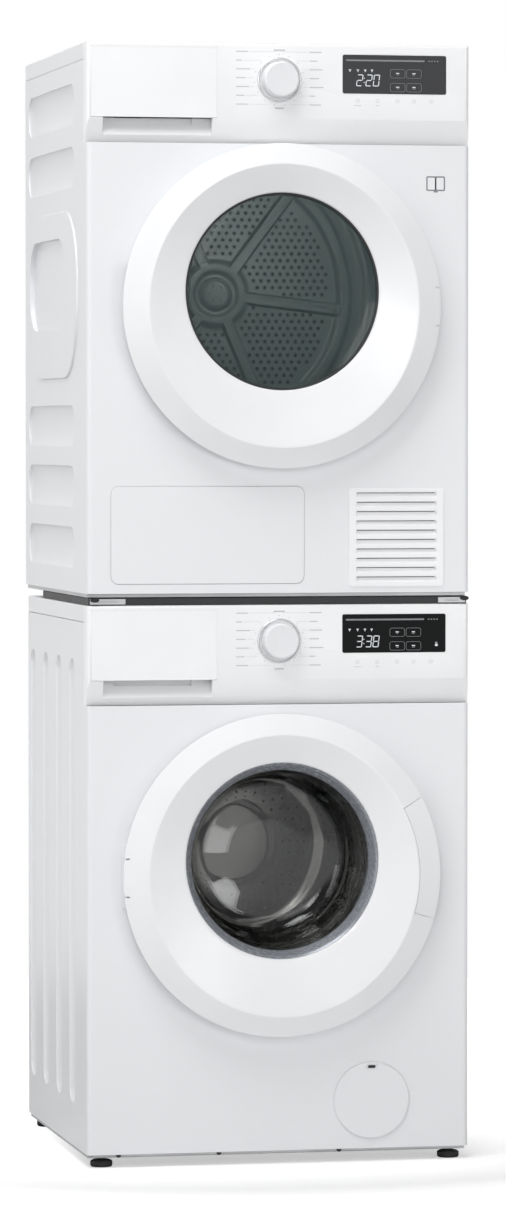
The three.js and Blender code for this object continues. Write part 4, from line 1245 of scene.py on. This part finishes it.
def buildVent():
    x0, x1, z0, z1 = 108.8, 257.2, 9.5, 160
    plate = prism("ventGrille", roundedRect(x0, x1, z0, z1, 5, 5), "Y", -1.8, -0.3)
    cut(plate, block("body", x0 + 6, x1 - 6, -0.5, 4, z0 + 6, z1 - 6), "UNION")
    for i in range(10):
        z = z0 + 7 + i * 14.3
        gap = [(-3, z - 1.5), (-3, z + 8.6), (3.4, z + 8.6), (3.4, z + 5.6)]
        slot = prism("slot", gap, "X", x0 + 11, x1 - 11)
        soften(slot, 1.2, 3, 60)
        cut(plate, slot)
        gill = block("gill", x0 + 13, x1 - 13, 1, 5, z + 6.4, z + 7.6)
        cut(plate, gill)
    soften(plate, 0.5, 2, 40)
    smooth(plate)
    settle(plate, "dryer", "cabinets", finish["plastic"], ["dryer_vent_grille"])
    # a dark plate behind the slots and gills: painted shade seen through them
    shade = block("ventShade", x0 + 6, x1 - 6, 4.4, 5.4, z0 + 6, z1 - 6)
    soften(shade, 0.3, 1, 40)
    settle(shade, "dryer", "cabinets", finish["hole"])


def buildBookSign():
    x0, x1, z0, z1 = 230, 259.5, 612.5, 637
    middle = (x0 + x1) / 2
    parts = []
    for lo, hi in ((x0, middle + 0.8), (middle - 0.8, x1)):
        page = prism("page", roundedRect(lo, hi, z0 + 2, z1, 2.4, 5), "Y", -0.12, 0)
        cut(page, prism("inner", roundedRect(lo + 2, hi - 2, z0 + 4, z1 - 2, 0.8, 4), "Y", -1, 1))
        parts.append(page)
    parts.append(bar(middle - 3.4, middle + 3.4, z0 - 0.2, z0 + 1.8))
    settle(merge("manualSign", parts), "dryer", "cabinets", finish["sign"])


baseStrip = {"y": 5.5, "low": -4, "screws": (-249, -93, 95), "screwZ": -1.2}


def buildBaseStrip():
    b = baseStrip
    strip = block("washerBaseStrip", -halfWidth + 9, halfWidth - 9, b["y"], b["y"] + 8, b["low"], 3)
    soften(strip, 1, 2, 40)
    settle(smooth(strip), "washer", "cabinets", finish["galvanised"])
    for i, x in enumerate(b["screws"]):
        y, z = b["y"], b["screwZ"]
        head = filleted([(0, y - 2.4, 0), (3.4, y - 2, 1), (4, y + 0.2, 0), (0, y + 1, 0)])
        screw = spun(f"baseScrew{i + 1}", head, 24, closed=False, x=x, z=z)
        cut(screw, block("slot", x - 2.6, x + 2.6, y - 4, y - 1.4, z - 0.5, z + 0.5))
        settle(smooth(screw), "washer", "cabinets", finish["darkPlastic"])


def buildFrameBrackets():
    z0, z1 = cabinetHeight + 0.4, cabinetHeight + 11.4
    for name, x0, x1 in (("left", -halfWidth + 5, -halfWidth + 60), ("right", halfWidth - 48, halfWidth - 5)):
        bracket = block(f"frameBracket_{name}", x0, x1, 2.4, 5, z0 + 1.4, z1 - 1.2)
        cut(bracket, prism("slot", roundedRect(x0 + 10, x1 - 10, z0 + 4.2, z1 - 4.4, 1.2, 4), "Y", 0, 3.4))
        soften(bracket, 0.6, 2, 40)
        settle(smooth(bracket), "washer", "cabinets", finish["galvanised"])
        x = (x0 + x1) / 2 + (20 if name == "right" else -20)
        edge = filleted([(0, -9, 0), (6, -9, 1), (7.5, -4, 1), (7.5, 4, 1), (0, 4, 0)])
        pad = spun(f"framePad_{name}", edge, 28, closed=False)
        pad.data.transform(Matrix.Translation((x, 8, z1 - 3)) @ Matrix.Scale(0.5, 4, (0, 0, 1)))
        settle(smooth(pad), "washer", "cabinets", finish["rubber"])


def buildFeet():
    for i in range(1, 5):
        low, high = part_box(f"washer_foot_{i}")
        x, y = (low.x + high.x) / 2, (low.y + high.y) / 2
        foot = spun(f"levellingFoot{i}", filleted([
            (0, 0, 0), (15.5, 0, 1.2), (17, 2.4, 1), (17, 8.6, 1.2), (13, 11, 1.5), (6, 11.5, 0),
            (5.8, 26, 0), (0, 26, 0)]), 40,
            closed=False)
        foot.data.transform(Matrix.Rotation(math.radians(90), 4, "X"))
        foot.data.transform(Matrix.Translation((x / millimetre, (y - frontY) / millimetre, -20)))
        smooth(foot, 40)
        settle(foot, "washer", "cabinets", finish["rubber"], [f"washer_foot_{i}"])


def polishedCopy(node, width, angle=30):
    # the CAD shape with its flat faces joined and its edges rounded
    piece = nodes[node].copy()
    piece.data = nodes[node].data.copy()
    piece.parent = None
    bpy.context.scene.collection.objects.link(piece)
    piece.name = f"{node}Shell"
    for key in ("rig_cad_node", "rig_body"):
        if key in piece:
            del piece[key]

    def clean():
        bpy.ops.mesh.remove_doubles(threshold=0.00001)
        bpy.ops.mesh.dissolve_limited(angle_limit=math.radians(1))
        bpy.ops.mesh.normals_make_consistent(inside=False)

    editAll(piece, clean)
    soften(piece, width, 2, 40)
    smooth(piece, angle)
    return piece


def keepShape(node, material, width=0.0006):
    piece = polishedCopy(node, width)
    piece.data.materials.clear()
    piece.data.materials.append(material)
    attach(piece, nodes[node]["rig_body"])
    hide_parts(node)
    return piece


buildFilterCover()
buildAccessFlap()
buildVent()
buildBookSign()
buildBaseStrip()
buildFrameBrackets()
buildFeet()
keepShape("stacking_frame", finish["darkPlastic"], 0.001)
keepShape("washer_base", finish["galvanised"])
keepShape("dryer_base", finish["galvanised"])
keepShape("washer_back_panel", finish["galvanised"])
keepShape("dryer_back_panel", finish["galvanised"])
print("stage: small pieces")


# inner nodes keep their CAD shape

innerFinish = {
    "washer_tub": "tub", "washer_drum_back": "steel", "washer_drum_pulley": "aluminium",
    "washer_belt": "belt", "washer_motor": "motor", "washer_motor_pulley": "steel",
    "washer_counterweight": "concrete",
    "washer_pump": "tub", "washer_filter_knob": "greyPlastic", "dryer_front_bulkhead": "galvanised",
    "dryer_motor": "motor", "dryer_motor_pulley": "steel", "dryer_belt": "belt", "dryer_fan": "greyPlastic",
    "dryer_heat_exchanger": "aluminium",
}
for node, key in innerFinish.items():
    paintNode(node, finish[key])


# floor, light and camera

studio = {
    "horizon": 1.0, "sky": 0.2, "floor": 0.8, "floorReach": 2.6,
    "top": 150, "front": 20, "left": 12, "low": 3, "patch": 5,
    "bowl": 7, "drumLamp": 0.9, "glow": (-0.6, 0.3, 0.1, 1.0), "nearGlow": (0.5, 1.0, 0.1, 1.0),
}


def buildStage():
    bpy.ops.object.select_all(action="DESELECT")
    bpy.ops.mesh.primitive_circle_add(vertices=128, radius=studio["floorReach"], fill_type="NGON",
                                      location=(0, 0, 0))
    floor = bpy.context.object
    floor.name = "studioFloor"
    material, shader = newMaterial("floorWhite", (studio["floor"],) * 3, 0.7)
    vector = objectCoords(material)
    varyRoughness(material, shader, noise(material, vector, 4, 2), 0.65, 0.75)
    # the floor brightens away from the machines until it meets the white all round
    split = addNode(material, "ShaderNodeSeparateXYZ")
    join(material, vector, split.inputs["Vector"])
    glow = addNode(material, "ShaderNodeMapRange")
    reach = addNode(material, "ShaderNodeVectorMath", operation="LENGTH")
    join(material, vector, reach.inputs[0])
    near = addNode(material, "ShaderNodeMapRange")
    for ramp, values in ((glow, studio["glow"]), (near, studio["nearGlow"])):
        for key, value in zip(("From Min", "From Max", "To Min", "To Max"), values):
            ramp.inputs[key].default_value = value
    join(material, split.outputs["Y"], glow.inputs["Value"])
    join(material, reach.outputs["Value"], near.inputs["Value"])
    brighter = addNode(material, "ShaderNodeMath", operation="MAXIMUM")
    join(material, glow.outputs["Result"], brighter.inputs[0])
    join(material, near.outputs["Result"], brighter.inputs[1])
    seen = addNode(material, "ShaderNodeMath", operation="MULTIPLY")
    join(material, brighter.outputs["Value"], seen.inputs[0])
    join(material, addNode(material, "ShaderNodeLightPath").outputs["Is Camera Ray"], seen.inputs[1])
    join(material, seen.outputs["Value"], shader.inputs["Emission Strength"])
    shader.inputs["Emission Color"].default_value = (1, 1, 1, 1)
    floor.data.materials.append(material)


def buildWorld():
    # white behind everything; as a light, bright at eye height and dim above and below
    world = bpy.data.worlds.new("studio")
    world.use_nodes = True
    tree = world.node_tree
    coords = tree.nodes.new("ShaderNodeTexCoord")
    split = tree.nodes.new("ShaderNodeSeparateXYZ")
    ramp = tree.nodes.new("ShaderNodeValToRGB")
    tree.links.new(coords.outputs["Generated"], split.inputs["Vector"])
    white, dim = (studio["horizon"],) * 3, (studio["sky"],) * 3
    height = tree.nodes.new("ShaderNodeMapRange")
    height.inputs["From Min"].default_value = -1
    tree.links.new(split.outputs["Z"], height.inputs["Value"])
    tree.links.new(height.outputs["Result"], ramp.inputs["Fac"])
    stops = ramp.color_ramp.elements
    stops[0].position, stops[0].color = 0.37, (*dim, 1)
    stops[1].position, stops[1].color = 0.43, (*white, 1)
    for place, tone in ((0.57, white), (0.66, dim)):
        stop = stops.new(place)
        stop.color = (*tone, 1)
    pick = tree.nodes.new("ShaderNodeMix")
    pick.data_type = "RGBA"
    tree.links.new(tree.nodes.new("ShaderNodeLightPath").outputs["Is Camera Ray"], pick.inputs["Factor"])
    tree.links.new(ramp.outputs["Color"], pick.inputs[6])
    pick.inputs[7].default_value = (*white, 1)
    tree.links.new(pick.outputs[2], tree.nodes["Background"].inputs["Color"])
    bpy.context.scene.world = world


def areaLight(name, place, target, size, power):
    data = bpy.data.lights.new(name, "AREA")
    data.shape = "RECTANGLE"
    data.size, data.size_y = size
    data.energy = power
    lamp = bpy.data.objects.new(name, data)
    lamp.location = place
    lamp.rotation_euler = (Vector(target) - Vector(place)).to_track_quat("-Z", "Y").to_euler()
    lamp.visible_camera = False
    bpy.context.scene.collection.objects.link(lamp)


buildStage()
buildWorld()
areaLight("topSoftbox", (-1.5, -1.6, 5.0), (0, -0.1, 1.0), (3.2, 2.6), studio["top"])
areaLight("frontFill", (-0.6, -5.2, 2.6), (0, 0, 0.9), (2.4, 1.8), studio["front"])
areaLight("leftFill", (-3.7, -2.7, 2.0), (-0.3, 0, 0.8), (1.0, 2.4), studio["left"])
areaLight("leftPatch", (-0.79, -3.08, 1.73), (0.19, -0.3, 1.24), (0.5, 0.6), studio["patch"])
areaLight("bowlPatch", (1.5, -3.4, 0.95), (0, -0.2, 0.47), (0.7, 0.8), studio["bowl"])
areaLight("lowPatch", (1.42, -3.4, -0.15), (-0.08, -0.16, 0.5), (0.6, 0.6), studio["low"])
areaLight("drumLamp", (0.06, -0.19, 1.49), (0, 0.2, 1.3), (0.06, 0.03), studio["drumLamp"])
bpy.context.scene.view_settings.view_transform = "Standard"

eye = {"place": (-1.722, -8.352, 1.117), "yaw": 11.74, "pitch": -1.81, "focal": 161.3}
camera = bpy.data.objects.new("studioCamera", bpy.data.cameras.new("studioCamera"))
camera.data.lens = eye["focal"]
camera.data.sensor_width = 36
camera.location = eye["place"]
camera.rotation_euler = (math.radians(90 + eye["pitch"]), 0, math.radians(-eye["yaw"]))
bpy.context.scene.collection.objects.link(camera)
bpy.context.scene.camera = camera
print("stage: studio")
